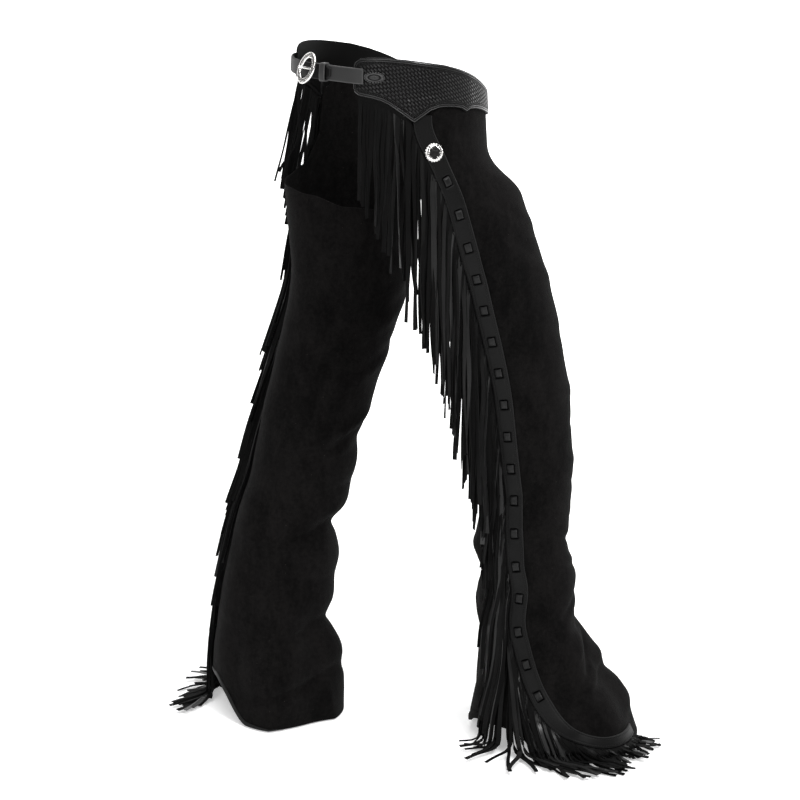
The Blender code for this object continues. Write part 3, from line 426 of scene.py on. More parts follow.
# %% [markdown]
# ## Writing shader maths as plain sums
# A finish is a chain of small sums on textures. A socket wrapped in a class of its own lets
# a sum be written as Python writes it, and each sign adds one Math node. Everything else,
# such as a noise or a colour mix, comes from one method that takes the node's type, its
# settings and what goes into its sockets.


# %% Sockets that add up
class Wire:
    """One output socket. Signs on it add Math nodes."""

    def __init__(self, finish, socket):
        self.finish, self.socket = finish, socket

    def sum(self, operation, first, second=0.0):
        return self.finish.node("ShaderNodeMath", {"operation": operation}, {0: first, 1: second})

    def __add__(self, other):
        return self.sum("ADD", self, other)

    def __radd__(self, other):
        return self.sum("ADD", other, self)

    def __sub__(self, other):
        return self.sum("SUBTRACT", self, other)

    def __rsub__(self, other):
        return self.sum("SUBTRACT", other, self)

    def __mul__(self, other):
        return self.sum("MULTIPLY", self, other)

    def __rmul__(self, other):
        return self.sum("MULTIPLY", other, self)

    def __truediv__(self, other):
        return self.sum("DIVIDE", self, other)

    def __mod__(self, other):
        return self.sum("FLOORED_MODULO", self, other)

    def __pow__(self, other):
        return self.sum("POWER", self, other)

    def __gt__(self, other):
        return self.sum("GREATER_THAN", self, other)

    def __abs__(self):
        return self.sum("ABSOLUTE", self)

    def floor(self):
        return self.sum("FLOOR", self)

    def cosine(self):
        return self.sum("COSINE", self)


class Finish:
    """A material on one Principled shader, built from Wires."""

    def __init__(self, name, **fixed):
        self.material = bpy.data.materials.new(name)
        self.material.use_nodes = True
        self.tree = self.material.node_tree
        self.skin = self.tree.nodes["Principled BSDF"]
        for key, value in fixed.items():
            self.skin.inputs[key.replace("_", " ")].default_value = value

    def node(self, kind, settings=None, sockets=None, out=0):
        """A node of any type: settings first, then the sockets' values or links."""
        made = self.tree.nodes.new(kind)
        for key, value in (settings or {}).items():
            if key == "stops":
                for stop, (place, colour) in zip(made.color_ramp.elements, value):
                    stop.position, stop.color = place, colour
            else:
                setattr(made, key, value)
        for key, value in (sockets or {}).items():
            self.feed(made.inputs[key], value)
        return Wire(self, made.outputs[out])

    def feed(self, socket, value):
        if isinstance(value, Wire):
            self.tree.links.new(value.socket, socket)
        else:
            socket.default_value = value

    def set(self, **wires):
        for key, value in wires.items():
            self.feed(self.skin.inputs[key.replace("_", " ")], value)

    def spot(self, kind="Object"):
        return self.node("ShaderNodeTexCoord", None, None, kind)

    def flat(self):
        """The two directions of the cut, in millimetres."""
        spread = self.node("ShaderNodeSeparateXYZ", None, {0: self.spot("UV")})
        return spread * 1000, Wire(self, spread.socket.node.outputs[1]) * 1000

    def noise(self, scale, detail=3.0, rough=0.55, where=None, stretch=None):
        where = where or self.spot()
        if stretch:
            settings = {"operation": "MULTIPLY"}
            where = self.node("ShaderNodeVectorMath", settings, {0: where, 1: stretch})
        sockets = {"Vector": where, "Scale": scale, "Detail": detail, "Roughness": rough}
        return self.node("ShaderNodeTexNoise", None, sockets)

    def cells(self, scale):
        return self.node("ShaderNodeTexVoronoi", {"feature": "F1"}, {"Vector": self.spot(), "Scale": scale})

    def mix(self, share, first, second):
        return self.node("ShaderNodeMix", {"data_type": "RGBA"}, {0: share, 6: first, 7: second}, 2)

    def mark(self, name):
        return self.node("ShaderNodeAttribute", {"attribute_name": name}, None, "Fac")

    def step(self, value, low, high):
        """0 below low, 1 above high, smooth between."""
        sockets = {0: value, 1: low, 2: high}
        return self.node("ShaderNodeMapRange", {"interpolation_type": "SMOOTHSTEP"}, sockets)

    def paint_shade(self, share):
        """Painted shade: blends the finish into a lightless black where the share is one."""
        gap = self.node("ShaderNodeBsdfPrincipled", None, {
            "Base Color": grey(0.0006), "Roughness": 1.0, "Specular IOR Level": 0.0})
        whole = self.node("ShaderNodeMixShader", None, {0: share, 1: Wire(self, self.skin.outputs[0]), 2: gap})
        self.tree.links.new(whole.socket, self.tree.nodes["Material Output"].inputs[0])

    def relief(self, height, distance, strength=1.0, under=None):
        sockets = {"Height": height, "Distance": distance, "Strength": strength}
        if under is not None:
            sockets["Normal"] = under
        return self.node("ShaderNodeBump", None, sockets)


def grey(level, warm=0.0):
    return (level * (1 + warm), level, level * (1 - warm * 0.4), 1.0)


print("shader helpers ready")

# %% [markdown]
# ## Suede
# Suede is leather split or sanded to a soft nap. It swallows light, but the nap lies in
# patches that face different ways, so a black suede leg is mottled in very dark greys and
# catches a faint sheen where it turns away. Three sizes of noise give the patches, the
# brushed streaks and the fibres. The sheen is one fixed number on the shader.


# %% Suede finishes
def make_suede(name, dark, light):
    finish = Finish(name, Sheen_Weight=0.016, Sheen_Roughness=0.5, Specular_IOR_Level=0.03)
    patches = finish.noise(7.0, 4.0, 0.6)
    brushed = finish.noise(38.0, 3.0, 0.6, stretch=(1.0, 1.0, 0.45))
    fibre = finish.noise(850.0, 2.0, 0.7)
    tufts = finish.noise(150.0, 3.0, 0.7)
    nap = finish.step(patches * 0.22 + brushed * 0.28 + tufts * 0.28 + fibre * 0.22, 0.38, 0.64)
    lint = 1 - finish.step(finish.cells(95.0), 0.035, 0.06)
    speck = lint * finish.step(finish.noise(60.0, 1.0, 0.5), 0.56, 0.60)
    napped = finish.mix(nap, dark, light)
    finish.set(Base_Color=finish.mix(speck * 0.5, napped, grey(0.06, 0.15)))
    finish.set(Roughness=0.86 + 0.12 * fibre)
    pile = finish.relief(fibre, 0.0009, 0.7)
    tufted = finish.relief(tufts, 0.0010, 0.35, pile)
    finish.set(Normal=finish.relief(brushed, 0.0016, 0.35, tufted))
    return finish.material


suede = make_suede("black_suede", grey(0.0016, 0.04), grey(0.0066, 0.07))
print("made", suede.name)


# %% Fringe finish
def make_fringe():
    """Cut suede with a smooth back: each strand keeps its own shade, and some shine."""
    finish = Finish("fringe_suede", Sheen_Weight=0.01, Specular_IOR_Level=0.10, Coat_Roughness=0.32)
    shade = finish.mark("shade")
    fibre = finish.noise(700.0, 2.0, 0.65, stretch=(1.0, 1.0, 0.2))
    worn = finish.noise(24.0, 3.0, 0.6)
    tone = finish.step(shade * 0.7 + worn * 0.2 + fibre * 0.2, 0.3, 0.95)
    finish.set(Base_Color=finish.mix(tone, grey(0.0014, 0.03), grey(0.015, 0.0)))
    finish.set(Roughness=0.80 - 0.30 * finish.step(shade, 0.45, 0.85) + 0.08 * fibre)
    finish.set(Coat_Weight=0.55 * finish.step(shade, 0.50, 0.75))
    finish.set(Normal=finish.relief(fibre, 0.0005, 0.5))
    return finish.material


fringe_suede = make_fringe()
print("made", fringe_suede.name)

# %% [markdown]
# ## Smooth leather
# The strips, straps and laces are smooth chrome-tanned leather. It has fine pores and soft
# pebbles, a satin top, and edges that wear to a paler grey. The pebbles come from cell
# noise, the wear from the stored distance to the edge.


# %% Smooth leather finishes
def make_smooth(name, base, pale, rough, shine=0.30):
    finish = Finish(name, Specular_IOR_Level=shine)
    pebbles = finish.cells(520.0)
    pores = finish.noise(1500.0, 2.0, 0.6)
    hand = finish.noise(16.0, 4.0, 0.65)
    edge = 1 - finish.step(finish.mark("rim"), 0.0004, 0.0028)
    worn = finish.step(hand * 0.6 + edge * 0.55, 0.45, 1.0)
    finish.set(Base_Color=finish.mix(worn, base, pale))
    finish.set(Roughness=rough + 0.16 * hand + 0.08 * edge)
    # painted shade: the stored mark blends slits, sunken windows and grooves into lightless black
    finish.paint_shade(finish.mark("painted_pit_shade"))
    grain = finish.relief(pores, 0.0002, 0.4)
    finish.set(Normal=finish.relief(pebbles, 0.0003, 0.3, grain))
    return finish.material


strip_leather = make_smooth("strip_leather", grey(0.0028), grey(0.012), 0.42, 0.13)
# partly its own dark grey, partly painted light: this leather is coloured several times lighter than the strip
# leather of the billet, the other half of the same strap, to stand in for the light on it
strap_leather_grey_with_painted_light = make_smooth("strap_leather_grey_with_painted_light", grey(0.026), grey(0.055), 0.36)
lace_leather = make_smooth("lace_leather", grey(0.0030), grey(0.012), 0.38, 0.24)
print("made", strip_leather.name, strap_leather_grey_with_painted_light.name, lace_leather.name)

# %% [markdown]
# ## Stamped leather
# The yokes are stamped with a basket weave, a traditional pattern that a stamp lays in
# rows: each little block runs across its neighbours, so it looks woven. The shader draws
# it on the flat cut as rows of long blocks, each row half a block on from the last, and
# each block dips at its ends and has fine ribs across. Three smooth lines follow the
# border, read from the stored distance to the edge.


# %% Stamped finish
WEAVE_LONG, WEAVE_WIDE = 8.8, 4.3
WEAVE_TURN = math.radians(38)


def make_stamped():
    finish = Finish("stamped_leather", Specular_IOR_Level=0.16, Coat_Roughness=0.22)
    u, v = finish.flat()
    p = (u * math.cos(WEAVE_TURN) + v * math.sin(WEAVE_TURN)) / WEAVE_LONG
    q = (v * math.cos(WEAVE_TURN) - u * math.sin(WEAVE_TURN)) / WEAVE_WIDE
    brick = (q.floor() % 2) * 0.5
    pf, qf = ((p + brick) % 1) * 2 - 1, (q % 1) * 2 - 1
    ribs = 0.90 + 0.10 * (pf * (5 * math.pi)).cosine()
    weave = (1 - abs(qf) ** 1.5) * (1 - 0.9 * abs(pf) ** 3) * ribs
    rim = finish.mark("rim") * 1000
    inside = finish.step(rim, 9.0, 10.2)
    line = 1 - abs(((rim - 0.5) / 2.7) % 1 * 2 - 1) ** 1.4
    border = line * (1 - inside)
    beads = (u * (2 * math.pi / 2.6)).cosine() * 0.5 + 0.5
    beaded = 1 - (1 - beads) * finish.step(rim, 5.6, 6.0) * (1 - finish.step(rim, 8.2, 8.6))
    front = 1 - finish.mark("back")
    height = (weave * inside + border * beaded) * front
    hand = finish.noise(14.0, 4.0, 0.65)
    pores = finish.noise(1400.0, 2.0, 0.6)
    # partly real, partly painted highlight: the crests are glossier, and they are also coloured lighter to
    # stand in for the light they catch
    high = finish.step(height, 0.50, 0.90)
    finish.set(Base_Color=finish.mix(high * (0.5 + 0.5 * hand), grey(0.0010), grey(0.016)))
    finish.set(Roughness=0.50 - 0.26 * high + 0.06 * hand)
    finish.set(Coat_Weight=0.65 * high)
    grain = finish.relief(pores, 0.00015, 0.4)
    finish.set(Normal=finish.relief(height, 0.0013, 1.0, grain))
    # painted shade: the low parts of the stamp are blended towards lightless black
    finish.paint_shade((1 - finish.step(height, 0.05, 0.40)) * front * 0.65)
    return finish.material


stamped_leather = make_stamped()
print("made", stamped_leather.name)

# %% [markdown]
# ## Thread and silver
# The thread is waxed black polyester, a shade above the leather. The buckle and conchos
# are bright silver-toned metal, engraved with a plain running scroll. Polish stays on the
# high spots, and a grey film gathers in the cuts, so the depth of the cut drives both the
# colour and the roughness.


# %% Thread and metal finishes
def make_thread():
    finish = Finish("waxed_thread", Specular_IOR_Level=0.15)
    twist = finish.noise(2600.0, 1.0, 0.5)
    finish.set(Base_Color=finish.mix(twist, grey(0.003), grey(0.013)))
    finish.set(Roughness=0.5 + 0.2 * twist)
    finish.set(Normal=finish.relief(twist, 0.0002, 0.6))
    return finish.material


def make_silver():
    finish = Finish("engraved_silver", Metallic=1.0)
    cut = finish.mark("cut_depth")
    film = finish.noise(260.0, 4.0, 0.65)
    dull = finish.step(cut + film * 0.25, 0.30, 0.85)
    finish.set(Base_Color=finish.mix(dull, (0.86, 0.85, 0.83, 1.0), (0.16, 0.155, 0.15, 1.0)))
    finish.set(Roughness=0.16 + 0.34 * dull + 0.06 * film)
    scratches = finish.noise(900.0, 2.0, 0.6, stretch=(1.0, 1.0, 0.15))
    finish.set(Normal=finish.relief(scratches, 0.0001, 0.35))
    return finish.material


waxed_thread = make_thread()
silver = make_silver()
print("made", waxed_thread.name, silver.name)

# %% [markdown]
# ## The suede legs
# Each leg is one panel wrapped round and closed, 2 mm thick. A fine grid of points on the
# folded surface is enough: cloth simulation would lose the listed folds. A slow
# ripple of under a millimetre keeps the flat stretches from looking like plastic.

# %% Legs
SUEDE = 0.002
LEG_COLUMNS, LEG_ROWS = 152, 262
HEM_RISE = {-1: 0.038, 1: 0.062}


def slack(angle, height, side):
    """A slow ripple in the leather, in metres."""
    turned = np.radians(angle)
    wave = np.sin(3 * turned + 21 * height + side) + np.sin(5 * turned - 34 * height + 1.7 * side)
    wave = wave + 0.8 * np.sin(2 * turned + 55 * height) + 0.6 * np.sin(8 * turned + 47 * height + 2)
    return 0.00035 * wave * (1 - ease(-0.14, -0.08, height))


def hem_edge(leg, angle):
    """Height of the hem, cut higher at the back so that no heel treads on it."""
    angle = turn(angle)
    return FLOOR + 0.002 + HEM_RISE[leg.side] * ease(130, 84, angle) * ease(34, 58, angle)


def make_leg(leg):
    angle = np.linspace(-180, 180, LEG_COLUMNS, endpoint=False)
    share = np.linspace(0, 1, LEG_ROWS)[:, None]
    bottom = hem_edge(leg, angle)
    height = bottom + (leg.top_edge(angle) - bottom) * share
    angle = np.broadcast_to(angle, height.shape)
    ripple = slack(angle, height, leg.side)
    outer = leg.point(angle, height, ripple)
    inner = leg.point(angle, height, ripple - SUEDE)
    piece = add_wall(leg.name + "_leg_suede", outer, inner, True, suede)
    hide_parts(leg.name + "_leg")
    return piece


leg_pieces = {leg.name: make_leg(leg) for leg in LEGS}
for name, piece in leg_pieces.items():
    print(name, "leg", len(piece.data.polygons), "faces", round(half_surface(piece), 3), "m2")

# %% [markdown]
# ## The stamped yokes
# A yoke is 3.5 mm saddle leather bent round the hip. Its grid follows the cut: columns by
# angle, rows between the lower and the upper edge, and the distance to the nearest edge is
# stored for the border. The edge is rounded over, as a maker slicks it.

# %% Yokes
YOKE_LEATHER = 0.0035
YOKE_COLUMNS, YOKE_LINES = 300, 64
STRIP_LEATHER, STRIP_GAP = 0.0025, 0.0008


def strip_lift(leg, angle, height):
    """How far the yoke is lifted where the outseam strip passes under it."""
    table = [(row[0] / 1000, row[1]) for row in leg.outseam]
    seam = waist_angle(leg.point(along(table, 1, height), height))
    away = np.abs(angle - seam) * math.radians(1) * WAIST_HALF_WIDTH
    rise = STRIP_LEATHER + STRIP_GAP + 0.0003
    return rise * (1 - ease(0.018, 0.030, away)) * ease(0.012, -0.008, height)


def edge_distance(grid):
    """Distance of each grid point to the nearest edge of the piece, along the leather."""
    across = np.concatenate([[0 * grid[0, :, 0]], np.linalg.norm(np.diff(grid, axis=0), axis=-1)]).cumsum(0)
    steps = np.linalg.norm(np.diff(grid, axis=1), axis=-1)
    length = np.concatenate([0 * grid[:, :1, 0], steps], 1).cumsum(1)
    edge = np.concatenate([grid[0], grid[-1], grid[:, 0], grid[:, -1]])
    near = np.minimum(np.minimum(across, across[-1:] - across), np.minimum(length, length[:, -1:] - length))
    for i in range(grid.shape[0]):
        gap = np.linalg.norm(grid[i][:, None] - edge[None], axis=-1).min(1)
        near[i] = np.minimum(near[i], gap)
    return near


def make_yoke(leg):
    angle = np.linspace(YOKE_ROWS[0, 0], YOKE_ROWS[-1, 0], YOKE_COLUMNS)
    low, high = yoke_edge(angle, 2), yoke_edge(angle, 1)
    share = np.linspace(0, 1, YOKE_LINES)[:, None]
    height = low + (high - low) * share
    angle = np.broadcast_to(angle, height.shape)
    lift = strip_lift(leg, angle, height)
    inner = waist_point(angle, height, lift, leg.side)
    rim = edge_distance(inner)
    round_over = 0.0014 * (1 - ease(0, 0.0022, rim))
    outer = waist_point(angle, height, lift + YOKE_LEATHER - round_over, leg.side)
    arc = np.radians(angle) * (WAIST_HALF_WIDTH + 0.004)
    flat = np.stack([arc, height], -1)
    piece = add_wall(leg.name + "_yoke_stamped", outer, inner, False, stamped_leather,
                     flat, {"rim": rim})
    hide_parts(leg.name + "_yoke")
    return piece


yoke_pieces = {leg.name: make_yoke(leg) for leg in LEGS}
print("yoke", round(half_surface(yoke_pieces["right"]), 4), "m2")

# %% [markdown]
# ## The outseam strips
# The strip is smooth leather, 28 mm wide, sewn down over the side seam and forward round
# the hem. A flat lace goes in and out of it, so there are 17 windows: two slits with a
# square of lace showing between them. The slits and the stitch grooves are pressed into
# the strip's own grid, and the lace squares are pieces of their own.

# %% The line of the strip
STRIP_WIDTH, STRIP_NARROWING = 0.028, 0.010
STRIP_TOP = -0.024
LACE_COUNT, LACE_FIRST, LACE_PITCH = 17, 0.108, 0.0545


class Track:
    """The centre line of a strip, read by the distance along it."""

    def __init__(self, leg):
        self.leg = leg
        table = [(i, row[0] / 1000, row[1]) for i, row in enumerate(leg.outseam)]
        place = np.linspace(0, len(table) - 1, 2401)
        height, angle = along(table, 1, place), along(table, 2, place)
        keep = height <= STRIP_TOP
        self.height, self.angle = height[keep], angle[keep]
        steps = np.linalg.norm(np.diff(leg.point(self.angle, self.height), axis=0), axis=-1)
        self.distance = np.concatenate([[0], steps]).cumsum()
        self.length = float(self.distance[-1])

    def frame(self, distance):
        """Point, way along the strip and way to its back edge, at each distance."""
        spots = []
        for shift in (0, 0.006, -0.006):
            at = np.clip(distance + shift, 0, self.length)
            angle, height = (np.interp(at, self.distance, v) for v in (self.angle, self.height))
            spots.append(self.leg.point(angle, height))
            if not shift:
                normal = self.leg.normal(angle, height)
        way = unit(spots[1] - spots[2])
        back = unit(np.cross(normal, way))
        flip = back[..., 1] - back[..., 2] < 0
        return spots[0], way, np.where(flip[..., None], -back, back), normal

    def place(self, distance, across, out):
        """Points on the leg at a distance along the strip and a distance across it."""
        here, _, back, _ = self.frame(distance)
        return self.leg.seat(here + back * np.asarray(across)[..., None], out)


tracks = {leg.name: Track(leg) for leg in LEGS}
print("strips", [round(track.length, 3) for track in tracks.values()])

# %% Strips with their slits
SLIT_OFFSET, SLIT_TALL, SLIT_WIDE, SLIT_DEEP = 0.0070, 0.0023, 0.0068, 0.0021


def strip_edges(along_way):
    """Middle and half width across the strip, which narrows round the hem's corner."""
    past = along_way - (LACE_FIRST + LACE_PITCH * (LACE_COUNT - 1))
    lost = STRIP_NARROWING * ease(0.014, 0.110, past)
    return lost / 2, (STRIP_WIDTH - lost) / 2


def strip_profile(along_way, across):
    """Height of the strip's face over its own back, its distance to the edge, and the painted shade that
    darkens its slits and the sunken square round each lace.
    """
    middle, half = strip_edges(along_way)
    rim = half - np.abs(across - middle)
    face = STRIP_LEATHER - 0.0010 * (1 - ease(0, 0.0018, rim))
    face = face - 0.00045 * np.exp(-(((rim - 0.0038) / 0.0006) ** 2))
    middles = LACE_FIRST + LACE_PITCH * np.arange(LACE_COUNT)
    off = along_way - middles[np.abs(along_way[..., None] - middles).argmin(-1)]
    slit = np.exp(-(((np.abs(off) - SLIT_OFFSET) / SLIT_TALL) ** 4)) * np.exp(-((across / SLIT_WIDE) ** 6))
    moat = np.exp(-((off / 0.0078) ** 8)) * np.exp(-((across / 0.0072) ** 8))
    lip = np.exp(-((off / 0.0112) ** 8)) * np.exp(-((across / 0.0088) ** 8))
    face = face - SLIT_DEEP * slit - 0.0011 * moat * (1 - slit) + 0.0005 * lip * (1 - moat)
    # the third value is painted shade, strongest in the slits and weaker in the sunken square round each lace
    return face, rim, np.maximum(slit, 0.75 * moat)


def strip_steps(length):
    """Distances along the strip, closer together at the windows."""
    steps, at = [0.0], 0.0
    middles = LACE_FIRST + LACE_PITCH * np.arange(LACE_COUNT)
    while at < length:
        at += 0.0009 if np.abs(middles - at).min() < 0.0125 else 0.0032
        steps.append(min(at, length))
    return np.array(steps)


def make_strip(leg):
    track = tracks[leg.name]
    along_way = strip_steps(track.length)[:, None]
    across = np.sin(np.linspace(-1, 1, 27) * math.pi / 2) * 0.45 + np.linspace(-1, 1, 27) * 0.55
    middle, half = strip_edges(along_way)
    across = middle + across[None] * half
    along_way, across = np.broadcast_arrays(along_way, across)
    # the third value is painted shade for the slits and windows
    face, rim, painted_pit_shade = strip_profile(along_way, across)
    outer = track.place(along_way, across, STRIP_GAP + face)
    inner = track.place(along_way, across, STRIP_GAP)
    piece = add_wall(leg.name + "_strip_leather", outer, inner, False, strip_leather,
                     np.stack([across, along_way], -1), {"rim": rim, "painted_pit_shade": painted_pit_shade})
    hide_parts(leg.name + "_outseam_strip")
    return piece


strip_pieces = {leg.name: make_strip(leg) for leg in LEGS}
print("strip faces", len(strip_pieces["right"].data.polygons))


# %% Lace squares
LACE_HALF = (0.0072, 0.0048)


def make_laces(leg):
    """One pillow of flat lace in each window, its ends tucked into the slits."""
    track = tracks[leg.name]
    n = 11
    s, t = np.meshgrid(np.linspace(-1, 1, n), np.linspace(-1, 1, n), indexing="ij")
    points, faces, rims = [], [], []
    for k in range(LACE_COUNT):
        middle = LACE_FIRST + LACE_PITCH * k
        tuck = 1 - np.abs(s) ** 5
        lift = STRIP_GAP + STRIP_LEATHER - 0.0014 + tuck * 0.0026 - 0.0008 * np.abs(t) ** 6
        outer = track.place(middle + s * LACE_HALF[0], t * LACE_HALF[1], lift)
        inner = track.place(middle + s * LACE_HALF[0], t * LACE_HALF[1], lift - 0.0010)
        both = np.concatenate([outer.reshape(-1, 3), inner.reshape(-1, 3)])
        faces.append(outward(both, wall_faces(n, n, False)) + 2 * n * n * k)
        points.append(both)
        rims.append(np.tile((1 - np.abs(t)).ravel() * LACE_HALF[1], 2))
    return add_piece(leg.name + "_lace_squares", np.concatenate(points), np.concatenate(faces),
                     lace_leather, None, {"rim": np.concatenate(rims)})


lace_pieces = {leg.name: make_laces(leg) for leg in LEGS}
print("lace faces", len(lace_pieces["right"].data.polygons))


# %% Stitches
STITCH_LENGTH, STITCH_PITCH, STITCH_THICK = 0.0028, 0.0040, 0.00038


def add_stitches(name, starts, ends, normals, slot):
    """Short raised threads between pairs of points."""
    t = np.linspace(-1, 1, 5)
    bulge = np.sqrt(np.clip(1 - t**4, 0.04, 1))
    way = ends - starts
    side = unit(np.cross(way, normals))
    middle = (starts + ends) / 2
    rings = []
    for place, size in zip(t, bulge):
        centre = middle + way * place / 2 + normals * (STITCH_THICK * (size - 0.5))[..., None] * 0.8 \
            if np.ndim(size) else middle + way * place / 2 + normals * STITCH_THICK * (size - 0.5) * 0.8
        corners = []
        for turned in np.radians((0, 72, 144, 216, 288)):
            spread = side * math.cos(turned) + normals * math.sin(turned)
            corners.append(centre + spread * STITCH_THICK * size)
        rings.append(np.stack(corners, 1))
    points = np.stack(rings, 1)
    count = len(starts)
    i, j = np.meshgrid(np.arange(4), np.arange(5), indexing="ij")
    k = (j + 1) % 5
    faces = np.stack([i * 5 + j, i * 5 + k, (i + 1) * 5 + k, (i + 1) * 5 + j], -1).reshape(-1, 4)
    ends_of = np.array([[0, 4, 3, 2], [0, 2, 1, 0], [20, 21, 22, 23], [20, 23, 24, 20]])
    one = [list(face) for face in faces] + [[4, 3, 2, 1, 0], [20, 21, 22, 23, 24]]
    every = [[v + 25 * n for v in face] for n in range(count) for face in one]
    mesh = bpy.data.meshes.new(name)
    mesh.from_pydata(points.reshape(-1, 3).tolist(), [], every)
    mesh.shade_smooth()
    made = bpy.data.objects.new(name, mesh)
    bpy.context.collection.objects.link(made)
    mesh.materials.append(waxed_thread)
    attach(made, BODY)
    return made


def strip_stitches(leg):
    track = tracks[leg.name]
    starts, ends, normals = [], [], []
    for across in (-1, 1):
        at = np.arange(0.014, track.length - 0.004, STITCH_PITCH)
        middle, half = strip_edges(at)
        off = middle + across * (half - 0.0038)
        lift = STRIP_GAP + STRIP_LEATHER - 0.0001
        starts.append(track.place(at, off, lift))
        ends.append(track.place(at + STITCH_LENGTH, off, lift))
        normals.append(track.frame(at)[3])
    return add_stitches(leg.name + "_strip_stitches", *(np.concatenate(v) for v in (starts, ends, normals)),
                        "trim_leather")


stitch_pieces = {leg.name: strip_stitches(leg) for leg in LEGS}
print("stitch faces", len(stitch_pieces["right"].data.polygons))

# %% [markdown]
# ## The fringe
# Fringe is a strip of suede cut into strands that stay joined at the seam. Each strand
# leaves the seam sideways, bends over and hangs, and the lowest ones lie out on the floor.
# Every strand is walked down in small steps: its way turns towards the ground, it is
# pushed off the leg where it would touch, and on the floor it turns outwards. A seeded
# draw gives each its own length, lean, twist and shade, so the fringe looks cut by hand
# and comes out the same each time.

# %% Fringe sizes
STRAND_PITCH = 0.0064
STRAND_HALF = 0.0031
STRAND_THICK = 0.0011
STRAND_STEPS = 26
FRINGE_LENGTH = 0.287
YOKE_RUN = (46.0, 17.5)
LEAN = {"right": 0.085, "left": 0.05}
TIP_LINE = -0.248


def fringe_seam(leg):
    """Stations of the seam, one for each strand: root, outward, seam way, free way, length."""
    track = tracks[leg.name]
    angle = np.linspace(*YOKE_RUN, 200)
    height = yoke_edge(angle, 2) - 0.001
    line = waist_point(angle, height, 0.0012, leg.side)
    gone = np.concatenate([[0], np.linalg.norm(np.diff(line, axis=0), axis=-1)]).cumsum()
    at = np.arange(0.002, gone[-1], STRAND_PITCH * 0.75)
    angle = np.interp(at, gone, angle)
    height = yoke_edge(angle, 2) - 0.001
    root = waist_point(angle, height, 0.0012, leg.side)
    out = unit(waist_point(angle, height, 0.02, leg.side) - root)
    way = unit(waist_point(angle - 1, height, 0, leg.side) - waist_point(angle, height, 0, leg.side))
    share = at / gone[-1]
    rows = [(root, out, way, np.tile([0, 0, -1.0], (len(at), 1)), 0.150 + 0.125 * share, 0 * share)]
    at = np.arange(0.012, track.length - 0.002, STRAND_PITCH)
    at = np.sort(np.concatenate([at, at[track.frame(at)[2][:, 2] < -0.5] + STRAND_PITCH * 0.45]))
    here, way, back, normal = track.frame(np.minimum(at, track.length - 0.001))
    spot = here + back * (STRIP_WIDTH / 2 + 0.0022)
    spot[:, 2] = np.maximum(spot[:, 2], FLOOR + 0.010)
    root = leg.seat(spot, STRIP_GAP + 0.0010)
    out = normal * (1, 1, 0)
    hem = ease(-0.60, -0.85, back[:, 2])
    rows.append((root, unit(out), way, back, np.full(len(at), FRINGE_LENGTH), 1 + hem))
    return [np.concatenate(column) for column in zip(*rows)]


seams = {leg.name: fringe_seam(leg) for leg in LEGS}
print("strands", {name: len(seam[0]) for name, seam in seams.items()})


